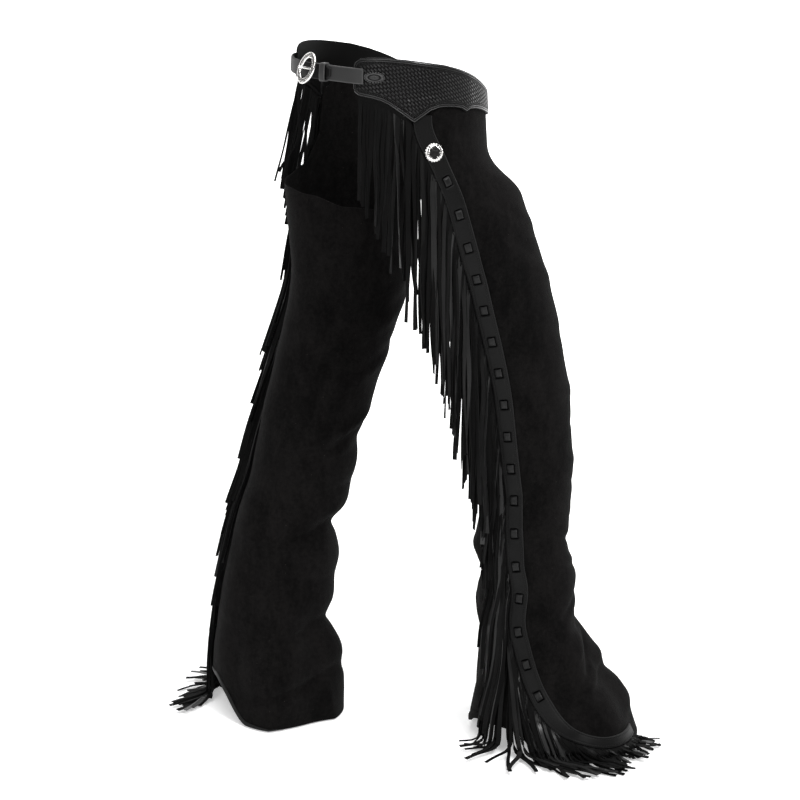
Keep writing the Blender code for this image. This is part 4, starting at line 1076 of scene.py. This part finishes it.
# %% Walking the strands down
def walk_strands(leg, draw):
    """Paths of every strand, and the sideways direction of its flat face."""
    root, out, way, free, length, place = seams[leg.name]
    count = len(root)
    track = tracks[leg.name]
    edge = track.place(track.distance, np.full_like(track.distance, STRIP_WIDTH / 2), 0.0)
    order = np.argsort(edge[:, 2])
    forward = unit(np.cross([0, 0, 1.0], out)) * leg.side
    forward = np.where(forward[:, 1:2] > 0, -forward, forward)
    lean = LEAN[leg.name] * draw.uniform(0.3, 1.7, count)
    gap = 0.0030 + draw.uniform(0, 0.0095, count)
    gap = np.where(place == 0, 0.008 + 0.3 * gap, gap)
    lift = 0.0012 + draw.uniform(0, 0.010, count)
    length = length * draw.normal(1, 0.028, count)
    late = np.linspace(0, 1, count)
    spread = draw.normal(0, 0.30, count)
    hem = np.clip(place - 1, 0, 1)
    low = ease(-0.80, -0.93, root[:, 2])
    drop = root[:, 2] - FLOOR
    if leg.side < 0:
        front = ease(TIP_LINE, TIP_LINE + 0.09, root[:, 1])
        along_floor = -0.6 + 1.5 * low * front + 0.5 * low * (1 - front) + spread
        floor_way = out * (0.35 + 0.25 * hem + 0.4 * (1 - front))[:, None] + forward * along_floor[:, None]
        length = np.minimum(length, drop * (1 + 0.35 * hem) + draw.uniform(0.030, 0.085, count))
        ahead = np.maximum(root[:, 1] - TIP_LINE, 0.02)
        swept = np.hypot(drop, ahead) * 1.03 + draw.uniform(0.0, 0.03, count)
        length = np.where(hem > 0.05, np.minimum(FRINGE_LENGTH, swept), length)
        sweep = 0.45 * low + 1.25 * hem
    else:
        floor_way = out * (0.15 + 0.6 * hem)[:, None] - forward * (1.1 - 0.5 * hem + spread)[:, None]
        length = np.minimum(length, drop + draw.uniform(0.030, 0.088, count))
        sweep = -0.1 * low
    floor_way = unit(floor_way * (1, 1, 0))
    aside = np.cross([0, 0, 1.0], floor_way)
    tilt = draw.normal(0, 0.022, count) + np.where(place == 0, draw.normal(0, 0.03, count), 0)
    sway = draw.normal(0, 1, (count, 2)) * 0.05
    phase = draw.uniform(0, 6.28, (count, 2))
    lay = np.zeros(count)
    for depth in np.linspace(0.06, 0.26, 21):
        below = root - (0, 0, depth)
        flat = (below - leg.centre(below[:, 2]))[:, :2]
        angle = np.degrees(np.arctan2(flat[:, 1], leg.side * flat[:, 0]))
        need = leg.radius(angle, below[:, 2]) + gap - np.linalg.norm(flat, axis=1)
        under = (place == 0) & (below[:, 2] < leg.top_edge(angle) + 0.02) & (depth < length)
        lay = np.maximum(lay, np.where(under, np.clip(need / depth, 0, 0.6), 0))
    spot, paths = root.copy(), [root.copy()]
    landed = np.zeros(count)
    for k in range(1, STRAND_STEPS):
        t = k / (STRAND_STEPS - 1)
        fall = float(ease(-0.01, 0.055, t))
        wave = np.sin(phase + t * 9.0) * sway
        hang = np.stack([0 * lean, 0 * lean, 0 * lean - 1], -1)
        hang = hang + forward * (wave[:, 0] + tilt + sweep)[:, None] + out * (wave[:, 1] * 0.5 + lay)[:, None]
        heading = unit(free * (1 - fall) + hang * (0.15 + 0.85 * fall))
        curl = floor_way + aside * (0.32 * np.sin(phase[:, 0] + 9 * t))[:, None]
        heading = unit(heading * (1 - landed[:, None]) + curl * landed[:, None])
        new = spot + heading * (length / (STRAND_STEPS - 1))[:, None]
        drop = root[:, 2] - new[:, 2]
        level = np.interp(new[:, 2], edge[order, 2], edge[order, 1])
        behind = level + 0.004 + lean * drop
        high = (place > 0) & (place < 1.5) & (new[:, 2] > -0.985) & (landed < 0.5)
        new[:, 1] = np.where(high, np.maximum(new[:, 1], behind), new[:, 1])
        centre = leg.centre(new[:, 2])
        flat = (new - centre)[:, :2]
        reach = np.linalg.norm(flat, axis=1)
        angle = np.degrees(np.arctan2(flat[:, 1], leg.side * flat[:, 0]))
        need = leg.radius(angle, new[:, 2]) + gap
        beside = ease(0.075, -0.01, new[:, 2] - leg.top_edge(angle))
        scale = 1 + beside * np.maximum(need / np.maximum(reach, 1e-6) - 1, 0)
        new[:, :2] = centre[:, :2] + flat * scale[:, None]
        down = new[:, 2] < FLOOR + lift
        new[:, 2] = np.where(down, FLOOR + lift, new[:, 2])
        landed = np.maximum(landed, down.astype(float))
        paths.append(new)
        spot = new
    return np.stack(paths, 1), out, forward, way


paths = {leg.name: walk_strands(leg, np.random.default_rng(7 + leg.side)) for leg in LEGS}
print("lowest strand", min(float(path[0][..., 2].min()) for path in paths.values()))


# %% Strands from their paths
def soften(path, passes=2):
    """Evens out a path, keeping both its ends."""
    for _ in range(passes):
        path[:, 1:-1] = (path[:, :-2] + 2 * path[:, 1:-1] + path[:, 2:]) / 4
    return path


def make_fringe_piece(leg, draw):
    path, out, forward, way = paths[leg.name]
    path = soften(path, 4)
    count, steps = path.shape[:2]
    heading = unit(np.gradient(path, axis=1))
    t = np.linspace(0, 1, steps)[None, :, None]
    rate = draw.normal(0, 1.3, count)[:, None, None]
    start = draw.normal(0, 0.35, count)[:, None, None]
    twist = start + rate * t * t
    flat_way = forward[:, None] * np.cos(twist) + out[:, None] * np.sin(twist)
    blend = ease(0.0, 0.14, t)
    lying = ease(0.35, 0.75, np.linalg.norm(heading[..., :2], axis=-1, keepdims=True)) * ease(0.2, 0.4, t)
    floor_side = unit(np.cross(heading, [0, 0, 1.0]))
    flat_way = flat_way * (1 - lying) + floor_side * lying
    side = way[:, None] * (1 - blend) + flat_way * blend
    side = unit(side - heading * (side * heading).sum(-1, keepdims=True))
    face = np.cross(heading, side)
    wide = STRAND_HALF * draw.normal(1, 0.17, count).clip(0.6, 1.5)[:, None, None] * (1 + 0.10 * np.sin(t * 17 + start * 20))
    thick = STRAND_THICK / 2
    corners = [path + side * wide * a + face * thick * b for a, b in ((1, 1), (-1, 1), (-1, -1), (1, -1))]
    points = np.stack(corners, 2).reshape(-1, 3)
    i, j = np.meshgrid(np.arange(steps - 1), np.arange(4), indexing="ij")
    k = (j + 1) % 4
    one = np.stack([i * 4 + j, i * 4 + k, (i + 1) * 4 + k, (i + 1) * 4 + j], -1).reshape(-1, 4)
    last = (steps - 1) * 4
    one = np.concatenate([one, [[3, 2, 1, 0], [last, last + 1, last + 2, last + 3]]])
    faces = (one[None] + (np.arange(count) * steps * 4)[:, None, None]).reshape(-1, 4)
    shade = np.repeat(draw.beta(1.2, 2.6, count), steps * 4)
    piece = add_piece(leg.name + "_fringe_strands", points, faces, fringe_suede,
                      None, {"shade": shade})
    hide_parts(leg.name + "_fringe")
    return piece


fringe_pieces = {leg.name: make_fringe_piece(leg, np.random.default_rng(40 + leg.side)) for leg in LEGS}
print("fringe faces", {name: len(piece.data.polygons) for name, piece in fringe_pieces.items()})


# %% The backing that the strands are cut from
def make_backing(leg):
    root, out, way, free, _, _ = seams[leg.name]
    shares = np.array((-0.0006, 0.0022, 0.0058))[:, None, None]
    line = root[None] + free[None] * shares
    outer, inner = line + out[None] * 0.0009, line - out[None] * 0.0007
    shade = np.full(outer.shape[:2], 0.2)
    return add_wall(leg.name + "_fringe_backing", outer, inner, False, fringe_suede,
                    None, {"shade": shade})


backing_pieces = {leg.name: make_backing(leg) for leg in LEGS}
print("backings", len(backing_pieces))

# %% [markdown]
# ## Straps
# The back strap is in two halves: a short one on the right yoke that carries the buckle,
# and the billet from the left yoke that runs through it. Another plain strap joins the
# yokes in front. Each is a bent band with rounded edges and a crease line near each edge.

# %% Straps
STRAP_WIDTH, STRAP_LEATHER, STRAP_HEIGHT = 0.023, 0.0025, 0.034
OVER_YOKE = 3.8
RIGHT_STRAP = (
    # angle, height, out, width share
    (43.4, 31.5, OVER_YOKE, 0.93), (43.9, 32, OVER_YOKE, 1),
    (46, 32, OVER_YOKE, 1), (50, 32.5, OVER_YOKE, 1), (56, 33, 3.0, 1), (63, 33.5, 2.5, 1),
    (70, 34, 2.5, 1), (76, 34, 2.5, 1),
)
HIGH = 5.5
BILLET = (
    (43.4, 31.5, OVER_YOKE, 0.93), (43.9, 32, OVER_YOKE, 1),
    (46, 32, OVER_YOKE, 1), (50, 32.5, OVER_YOKE, 1), (57, 33, 3.4, 1), (64, 33.5, 3.2, 1),
    (71, 34, 3.4, 1), (78, 34, 4.0, 1), (85, 34, 4.8, 1), (90, 34, HIGH, 1), (95, 34, HIGH, 1),
    (101, 34, HIGH, 1), (108, 34, HIGH, 1), (114, 34, HIGH, 0.9), (117, 34, HIGH, 0.45),
)
FRONT = tuple((a, -33, OVER_YOKE + 0.1, 0.7 if abs(a + 90) > 15 else 1) for a in range(-106, -73, 4))


def make_strap(name, node, table, side, width=STRAP_WIDTH, finish=strap_leather_grey_with_painted_light):
    rows = np.array(sorted(table), float)
    angle = np.linspace(rows[0, 0], rows[-1, 0], max(24, int(np.ptp(rows[:, 0]) * 1.6)))
    height, out, share = (np.interp(angle, rows[:, 0], rows[:, c]) for c in (1, 2, 3))
    across = np.sin(np.linspace(-1, 1, 17) * math.pi / 2)[:, None] / 2
    rise = height / 1000 + across * width * share
    rim = np.minimum((0.5 - np.abs(across)) * width * share, 1)
    ends = np.minimum(angle - angle[0], angle[-1] - angle) * 0.003
    rim = np.minimum(rim, ends)
    face = STRAP_LEATHER - 0.0009 * (1 - ease(0, 0.0016, rim))
    face = face - 0.0004 * np.exp(-(((rim - 0.0030) / 0.0005) ** 2))
    angle = np.broadcast_to(angle, rise.shape)
    out = np.broadcast_to(out, rise.shape) / 1000
    outer = waist_point(angle, rise, out + face, side)
    inner = waist_point(angle, rise, out, side)
    piece = add_wall(name, outer, inner, False, finish, None, {"rim": rim})
    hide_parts(node)
    return piece


straps = [
    make_strap("buckle_strap", "right_back_strap", RIGHT_STRAP, -1),
    make_strap("billet_strap", "left_back_strap", BILLET, 1, finish=strip_leather),
    make_strap("front_joining_strap", "front_strap", FRONT, -1, 0.016),
]
print("straps", [len(piece.data.polygons) for piece in straps])

# %% [markdown]
# ## Buckle, keeper and stitch
# The buckle is a broad oval frame with a raised scroll round it and a beaded edge. It sits
# flat on the billet, leaning a little, and its prong lies across the window. The scroll is
# built as real relief, because its small bright edges are what the eye reads as silver.


# %% Buckle frame
def ring_axes(angle, height, out, side=-1):
    """A place on the waist ring with its own axes: middle, across, up, outward."""
    middle = waist_point(angle, height, out, side)
    normal = unit(waist_point(angle, height, out + 0.01, side) - middle)
    up = np.array([0, 0, 1.0])
    return middle, unit(np.cross(up, normal)), up, normal


def tilted(axes, tilt):
    """The same place with its face turned up by the tilt."""
    middle, across, up, normal = axes
    c, s = math.cos(tilt), math.sin(tilt)
    return middle, across, up * c - normal * s, normal * c + up * s


BUCKLE = tilted(ring_axes(79.5, STRAP_HEIGHT + 0.003, 0.0112), math.radians(14))
BUCKLE_LEAN = math.radians(-35)
BUCKLE_HALF = (0.0205, 0.0262)
BUCKLE_RIM, BUCKLE_THICK = 0.0088, 0.0032


def make_buckle():
    middle, across, up, normal = BUCKLE
    tilt = across * math.cos(BUCKLE_LEAN) + up * math.sin(BUCKLE_LEAN)
    rise = up * math.cos(BUCKLE_LEAN) - across * math.sin(BUCKLE_LEAN)
    turned = np.linspace(0, 2 * math.pi, 168, endpoint=False)[None]
    share = np.linspace(0, 1, 19)[:, None]
    dome = np.sin(np.clip(share, 0, 1) * math.pi) ** 0.45
    bead = np.exp(-(((share - 0.13) / 0.07) ** 2)) * (0.75 + 0.25 * np.cos(56 * turned))
    lobe = np.cos(12 * turned + 5.5 * (share - 0.5)) * np.cos(24 * turned - 9 * share)
    field = ease(0.22, 0.32, share) * (1 - ease(0.78, 0.88, share))
    scroll = ease(-0.2, 0.5, lobe) * field
    lift = BUCKLE_THICK * (0.35 + 0.55 * dome) + 0.0004 * bead + 0.0006 * scroll * (share < 0.95)
    reach = [1 - share * BUCKLE_RIM / half for half in BUCKLE_HALF]
    flat = tilt * (np.cos(turned) * BUCKLE_HALF[0] * reach[0])[..., None]
    flat = flat + rise * (np.sin(turned) * BUCKLE_HALF[1] * reach[1])[..., None]
    outer = middle + flat + normal * lift[..., None]
    inner = middle + flat + 0 * normal
    cut = field * (1 - scroll) * 0.8 + 0 * lift
    piece = add_wall("buckle_oval", outer, inner, True, silver, None, {"cut_depth": cut})
    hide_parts("buckle_frame")
    return piece


buckle_piece = make_buckle()
print("buckle faces", len(buckle_piece.data.polygons))


# %% Prong, keeper and strap stitch
def bar(path, sizes, across, sides=14):
    """Rings of a tapering rounded bar along a path: sizes are half wide, half thick."""
    path, sizes = np.asarray(path), np.asarray(sizes)
    heading = unit(np.gradient(path, axis=0))
    side = unit(across - heading * (heading @ across)[:, None])
    face = np.cross(heading, side)
    turned = np.linspace(0, 2 * math.pi, sides, endpoint=False)
    ring = side[:, None] * (np.cos(turned) * sizes[:, :1])[..., None]
    return path[:, None] + ring + face[:, None] * (np.sin(turned) * sizes[:, 1:])[..., None]


def add_bars(name, bars, finish, marks=None):
    """One piece of several bars, each closed at both ends."""
    points, faces, start = [], [], 0
    for rings in bars:
        rows, sides = rings.shape[:2]
        i, j = np.meshgrid(np.arange(rows - 1), np.arange(sides), indexing="ij")
        k = (j + 1) % sides
        skin = np.stack([i * sides + j, i * sides + k, (i + 1) * sides + k, (i + 1) * sides + j], -1)
        faces += (skin.reshape(-1, 4) + start).tolist()
        faces.append([start + v for v in range(sides)][::-1])
        faces.append([start + (rows - 1) * sides + v for v in range(sides)])
        points += rings.reshape(-1, 3).tolist()
        start += rows * sides
    mesh = bpy.data.meshes.new(name)
    mesh.from_pydata(points, [], faces)
    for key, value in (marks or {}).items():
        layer = mesh.attributes.new(key, "FLOAT", "POINT")
        layer.data.foreach_set("value", np.full(start, value, np.float32))
    mesh.shade_smooth()
    made = bpy.data.objects.new(name, mesh)
    bpy.context.collection.objects.link(made)
    mesh.materials.append(finish)
    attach(made, BODY)
    return made


def make_prong():
    middle, across, up, normal = BUCKLE
    t = np.linspace(-1, 1, 15)[:, None]
    path = middle + across * t * 0.0175 + normal * (0.0042 - 0.0012 * t * t)
    wide = 0.0018 * (1 - 0.55 * np.clip(t, 0, 1) ** 3)
    sizes = np.concatenate([wide, wide * 0.8], 1)
    sizes[[0, -1]] *= 0.35
    t = np.linspace(0, math.pi, 9)[1:-1, None]
    knob = middle - across * 0.0155 + normal * (0.0040 + 0.0022 * np.cos(t))
    round_size = np.concatenate([0.0026 * np.sin(t), 0.0026 * np.sin(t)], 1)
    bars = [bar(path, sizes, up), bar(knob, round_size, up)]
    piece = add_bars("buckle_tongue", bars, silver, {"cut_depth": 0.05})
    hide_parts("buckle_prong")
    return piece


def make_keeper():
    """A leather loop round the strap, made of one bent band."""
    corners = ((0.0004, 1), (0.0100, 1), (0.0100, -1), (0.0004, -1))
    half = STRAP_WIDTH / 2 + 0.0005
    loop = []
    for k in range(4):
        (out, up), (next_out, next_up) = corners[k], corners[(k + 1) % 4]
        for share in np.linspace(0, 1, 9, endpoint=False):
            loop.append((out + (next_out - out) * share, (up + (next_up - up) * share) * half))
    loop = np.array(loop)
    for _ in range(2):
        loop = (np.roll(loop, 1, 0) + 2 * loop + np.roll(loop, -1, 0)) / 4
    middle = loop.mean(0)
    thick = unit(loop - middle) * 0.0018
    angle = np.linspace(66.0, 69.8, 9)[:, None]
    rim = np.minimum(angle - 66.0, 69.8 - angle) * 0.003 + 0 * loop[None, :, 0]
    crown = 1 - 0.35 * (1 - ease(0, 0.0014, rim))
    grown = loop[None] + thick[None] * crown[..., None]
    outer = waist_point(np.broadcast_to(angle, rim.shape), STRAP_HEIGHT + grown[..., 1], grown[..., 0])
    inner = waist_point(np.broadcast_to(angle, rim.shape), STRAP_HEIGHT + loop[None, :, 1], loop[None, :, 0])
    piece = add_wall("keeper_loop", outer, inner, True, strap_leather_grey_with_painted_light, None, {"rim": rim})
    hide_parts("strap_keeper")
    return piece


WINDOW = (0.0142, 0.0064)
WINDOW_BEADS = 22


def make_strap_window(leg):
    """The oval window in the yoke where the strap's end shows, with its raised lip."""
    middle, across, up, normal = ring_axes(37.2, 0.031, YOKE_LEATHER + 0.0005, leg.side)
    turned = np.linspace(0, 2 * math.pi, 64, endpoint=False)[None]
    share = np.linspace(0, 1, 15)[:, None]
    reach = 1.0 - share
    flat = across * (np.cos(turned) * WINDOW[0] * reach)[..., None] + up * (np.sin(turned) * WINDOW[1] * reach)[..., None]
    lip = np.exp(-(((share - 0.16) / 0.12) ** 2))
    pillow = ease(0.30, 0.62, share)
    lift = 0.0004 + 0.0012 * lip + 0.0011 * pillow
    outer = middle + flat + normal * lift[..., None]
    inner = middle + flat + 0 * normal
    rim = 0.0002 + 0.003 * pillow + 0 * turned
    # painted shade: a dark ring in the groove between the raised lip and the pillow
    painted_pit_shade = np.exp(-(((share - 0.36) / 0.11) ** 2)) + 0 * turned
    piece = add_wall(leg.name + "_strap_window", outer[:-1], inner[:-1], True, strap_leather_grey_with_painted_light,
                     None, {"rim": rim[:-1], "painted_pit_shade": painted_pit_shade[:-1]})
    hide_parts(leg.name + "_strap_stitch")
    beads = []
    t = np.linspace(-1, 1, 9)
    for turned_by in np.linspace(0, 2 * math.pi, WINDOW_BEADS, endpoint=False):
        around = turned_by + t * 0.085
        path = middle + across * (np.cos(around) * (WINDOW[0] + 0.0012))[:, None]
        path = path + up * (np.sin(around) * (WINDOW[1] + 0.0012))[:, None]
        path = path + normal * (0.0006 - 0.0005 * t**2)[:, None]
        sizes = np.stack([0.0009 * np.sqrt(1.05 - t**2), 0.0007 + 0 * t], 1)
        beads.append(bar(path, sizes, up * math.sin(turned_by) + across * math.cos(turned_by), 8))
    return piece, add_bars(leg.name + "_window_beads", beads, strap_leather_grey_with_painted_light, {"rim": 0.0001})


small_pieces = [make_prong(), make_keeper()] + [make_strap_window(leg) for leg in LEGS]
print("small pieces", len(small_pieces))

# %% [markdown]
# ## Conchos
# A concho is a domed disc slotted in the middle, tied on with a lace. Plain flutes run out
# from the centre to a scalloped, beaded rim. The whole relief is one height over the disc.

# %% Conchos and their ties
CONCHO_RADIUS = 0.0141


def make_concho(leg):
    height = -0.080
    table = [(row[0] / 1000, row[1]) for row in leg.outseam]
    angle = along(table, 1, height)
    middle = leg.point(angle, height, STRIP_GAP + STRIP_LEATHER + 0.0006)
    normal = leg.normal(angle, height)
    up = unit(np.array([0, 0, 1.0]) - normal * normal[2])
    across = unit(np.cross(up, normal))
    turned = np.linspace(0, 2 * math.pi, 120, endpoint=False)[None]
    share = np.linspace(0, 1, 26)[:, None]
    scallop = 1 + 0.022 * np.cos(20 * turned) * share**6
    reach = share * CONCHO_RADIUS * scallop
    flute = ease(-0.3, 0.6, np.cos(20 * turned)) * ease(0.34, 0.42, share) * (1 - ease(0.72, 0.80, share))
    ring = np.exp(-(((share - 0.84) / 0.045) ** 2)) + np.exp(-(((share - 0.30) / 0.04) ** 2))
    lift = 0.0034 * np.sqrt(np.clip(1 - 0.82 * share**2, 0, 1)) - 0.0012 * share**4
    lift = lift + 0.00045 * flute + 0.0004 * ring
    flat = across * (np.cos(turned) * reach)[..., None] + up * (np.sin(turned) * reach)[..., None]
    outer = middle + flat + normal * lift[..., None]
    inner = middle + flat + normal * (lift * 0.0)[..., None]
    cut = (1 - flute) * ease(0.34, 0.42, share) * (1 - ease(0.72, 0.80, share)) * 0.8
    cut = cut + 0.8 * np.exp(-(((share - 0.95) / 0.03) ** 2)) + 0 * lift
    piece = add_wall(leg.name + "_concho_disc", outer[1:][::-1], inner[1:][::-1], True, silver,
                     None, {"cut_depth": cut[1:][::-1]})
    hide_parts(leg.name + "_concho")
    t = np.linspace(-1, 1, 17)[:, None]
    bars = []
    for turned_by, long, lift_by, half in ((6, 0.0096, 0.0, 0.0042), (62, 0.0092, 0.0013, 0.0036),
                                           (-58, 0.0088, 0.0024, 0.0034)):
        a = math.radians(turned_by)
        way, flat_way = up * math.cos(a) + across * math.sin(a), across * math.cos(a) - up * math.sin(a)
        path = middle + way * t * long + normal * (0.0044 + lift_by - (0.0018 + lift_by) * t**4)
        sizes = np.concatenate([half - 0.0006 * np.abs(t), 0.0009 + 0 * t], 1)
        sizes[[0, -1]] *= 0.5
        bars.append(bar(path, sizes, flat_way))
    tie = add_bars(leg.name + "_concho_lace", bars, lace_leather, {"rim": 0.002})
    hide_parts(leg.name + "_concho_tie")
    return piece, tie


concho_pieces = [make_concho(leg) for leg in LEGS]
print("conchos", len(concho_pieces))

# %% [markdown]
# ## Hem bindings
# The inner back of each hem is faced with a band that wears against the boot: smooth
# leather on the left leg, suede on the right. It tapers out towards the front, and the
# leather one catches the light as a grey line.

# %% Hem bindings
BINDING = ((62, 1.5), (82, 8.0), (101, 13.0), (122, 9.0), (145, 4.0), (162, 1.5))


def make_binding(leg):
    angle = np.linspace(BINDING[0][0], BINDING[-1][0], 120)
    width = along(BINDING, 1, angle) / 1000
    across = np.linspace(0, 1, 9)[:, None]
    height = hem_edge(leg, angle) + 0.0002 + across * width
    rim = np.minimum(across, 1 - across) * width
    ripple = slack(angle, height, leg.side)
    face = 0.0014 - 0.0007 * (1 - ease(0, 0.0012, rim))
    angle = np.broadcast_to(angle, height.shape)
    outer = leg.point(angle, height, ripple + 0.0003 + face)
    inner = leg.point(angle, height, ripple + 0.0003)
    finish = suede if leg.side < 0 else strip_leather
    return add_wall(leg.name + "_hem_binding", outer, inner, False, finish,
                    None, {"rim": rim})


binding_pieces = {leg.name: make_binding(leg) for leg in LEGS}
print("bindings", len(binding_pieces))

# %% [markdown]
# ## What was cut
# A leg is one panel as wide as its widest girth and as long as the seam. The sizes below
# are measured on the finished pieces: half the surface of each leg, yoke and strip.

# %% Flat sizes
for leg in LEGS:
    name = leg.name
print("half surfaces", {name: round(half_surface(piece), 4) for name, piece in leg_pieces.items()})
print("yokes", {name: round(half_surface(piece), 4) for name, piece in yoke_pieces.items()})
print("strips", {name: round(half_surface(piece), 4) for name, piece in strip_pieces.items()})

# %% [markdown]
# ## Studio
# The floor is a pale sweep that curves up behind, so there is no horizon, and it glows,
# more towards the back. Black leather shows its shape only in what it reflects, so there
# are two large soft lights in front, a broad one overhead, and a strip of light at one
# side that draws an edge on the folds.

# %% Floor and lights
SWEEP_HALF, SWEEP_BACK, SWEEP_TALL = 9.0, 5.0, 5.0
GLOW = 0.5, 2.2


def make_floor():
    turned = np.linspace(0, math.pi / 2, 24)
    level = np.linspace(-4.0, 2.4, 65)[:-1]
    depth = np.concatenate([level, 2.4 + 2.6 * np.sin(turned), [SWEEP_BACK]])
    height = np.concatenate([0 * level, 2.6 * (1 - np.cos(turned)), [SWEEP_TALL]])
    away = -np.array((-0.9063, 0.4226))
    side = np.array((away[1], -away[0]))
    rows = []
    for far, tall in zip(depth, height):
        for wide in (-SWEEP_HALF, SWEEP_HALF):
            spot = away * far + side * wide
            rows.append((spot[0], spot[1], FLOOR - 0.0005 + tall))
    mesh = bpy.data.meshes.new("studio_floor")
    mesh.from_pydata(rows, [], [(2 * k, 2 * k + 1, 2 * k + 3, 2 * k + 2) for k in range(len(depth) - 1)])
    layer = mesh.attributes.new("lit", "FLOAT", "POINT")
    layer.data.foreach_set("value", np.repeat(ease(GLOW[0], GLOW[1], depth), 2).astype(np.float32))
    mesh.shade_smooth()
    floor = bpy.data.objects.new("studio_floor", mesh)
    bpy.context.collection.objects.link(floor)
    finish = Finish("studio_paper", Specular_IOR_Level=0.1, Emission_Strength=1.0)
    grain = finish.noise(30.0, 2.0, 0.5)
    finish.set(Base_Color=finish.mix(grain, grey(0.88), grey(0.92)), Roughness=0.9 + 0.05 * grain)
    finish.set(Emission_Color=finish.mix(finish.mark("lit"), grey(0.38), grey(0.95)))
    mesh.materials.append(finish.material)
    return floor


def add_light(name, where, aim, size, power):
    lamp = bpy.data.lights.new(name, "AREA")
    lamp.shape, lamp.size, lamp.size_y, lamp.energy = "RECTANGLE", size[0], size[1], power
    made = bpy.data.objects.new(name, lamp)
    bpy.context.collection.objects.link(made)
    made.location = where
    back = unit(np.array(where, float) - np.array(aim, float))
    side = unit(np.cross([0, 0, 1.0], back))
    made.rotation_euler = look_matrix(side, np.cross(back, side), back).to_euler()
    return made


def look_matrix(side, up, back):
    from mathutils import Matrix
    return Matrix(np.stack([side, up, back], 1).tolist())


make_floor()
AIM = (0, 0, -0.5)
add_light("key", (-3.0, -0.6, 2.6), AIM, (1.2, 1.2), 105)
add_light("fill", (-2.2, 3.2, 1.2), AIM, (1.2, 2.0), 45)
add_light("front_edge", (-0.2, -3.4, 0.8), AIM, (0.5, 2.6), 24)
add_light("top", (-0.3, 0.1, 3.2), AIM, (3.6, 3.6), 150)
world = bpy.data.worlds.new("studio") if not bpy.context.scene.world else bpy.context.scene.world
bpy.context.scene.world = world
world.use_nodes = True
world.node_tree.nodes["Background"].inputs[0].default_value = (1.0, 1.0, 1.0, 1.0)
world.node_tree.nodes["Background"].inputs[1].default_value = 0.18
bpy.context.scene.view_settings.view_transform = "Standard"

# %% [markdown]
# ## Camera
# The picture was taken from behind the right hip, a little above the waist and looking
# slightly down, with a long lens. The same place and lens here make the render overlay it.

# %% Camera
AZIMUTH, TILT_DOWN = math.radians(245), math.radians(15.63)
DISTANCE, RISE, SHIFT = 3.25, 0.40, 0.0133
right_way = np.array([math.cos(AZIMUTH), math.sin(AZIMUTH), 0])
level_back = np.array([math.sin(AZIMUTH), -math.cos(AZIMUTH), 0])
up_way = np.array([0, 0, 1.0])
back_way = level_back * math.cos(TILT_DOWN) + up_way * math.sin(TILT_DOWN)
lens = bpy.data.cameras.new("photo_camera")
lens.sensor_width, lens.lens = 36.0, 93.6
lens.clip_end = 60
camera = bpy.data.objects.new("photo_camera", lens)
bpy.context.collection.objects.link(camera)
camera.location = level_back * DISTANCE + up_way * RISE + right_way * SHIFT
camera.rotation_euler = look_matrix(right_way, np.cross(back_way, right_way), back_way).to_euler()
bpy.context.scene.camera = camera
print("camera at", [round(v, 3) for v in camera.location])
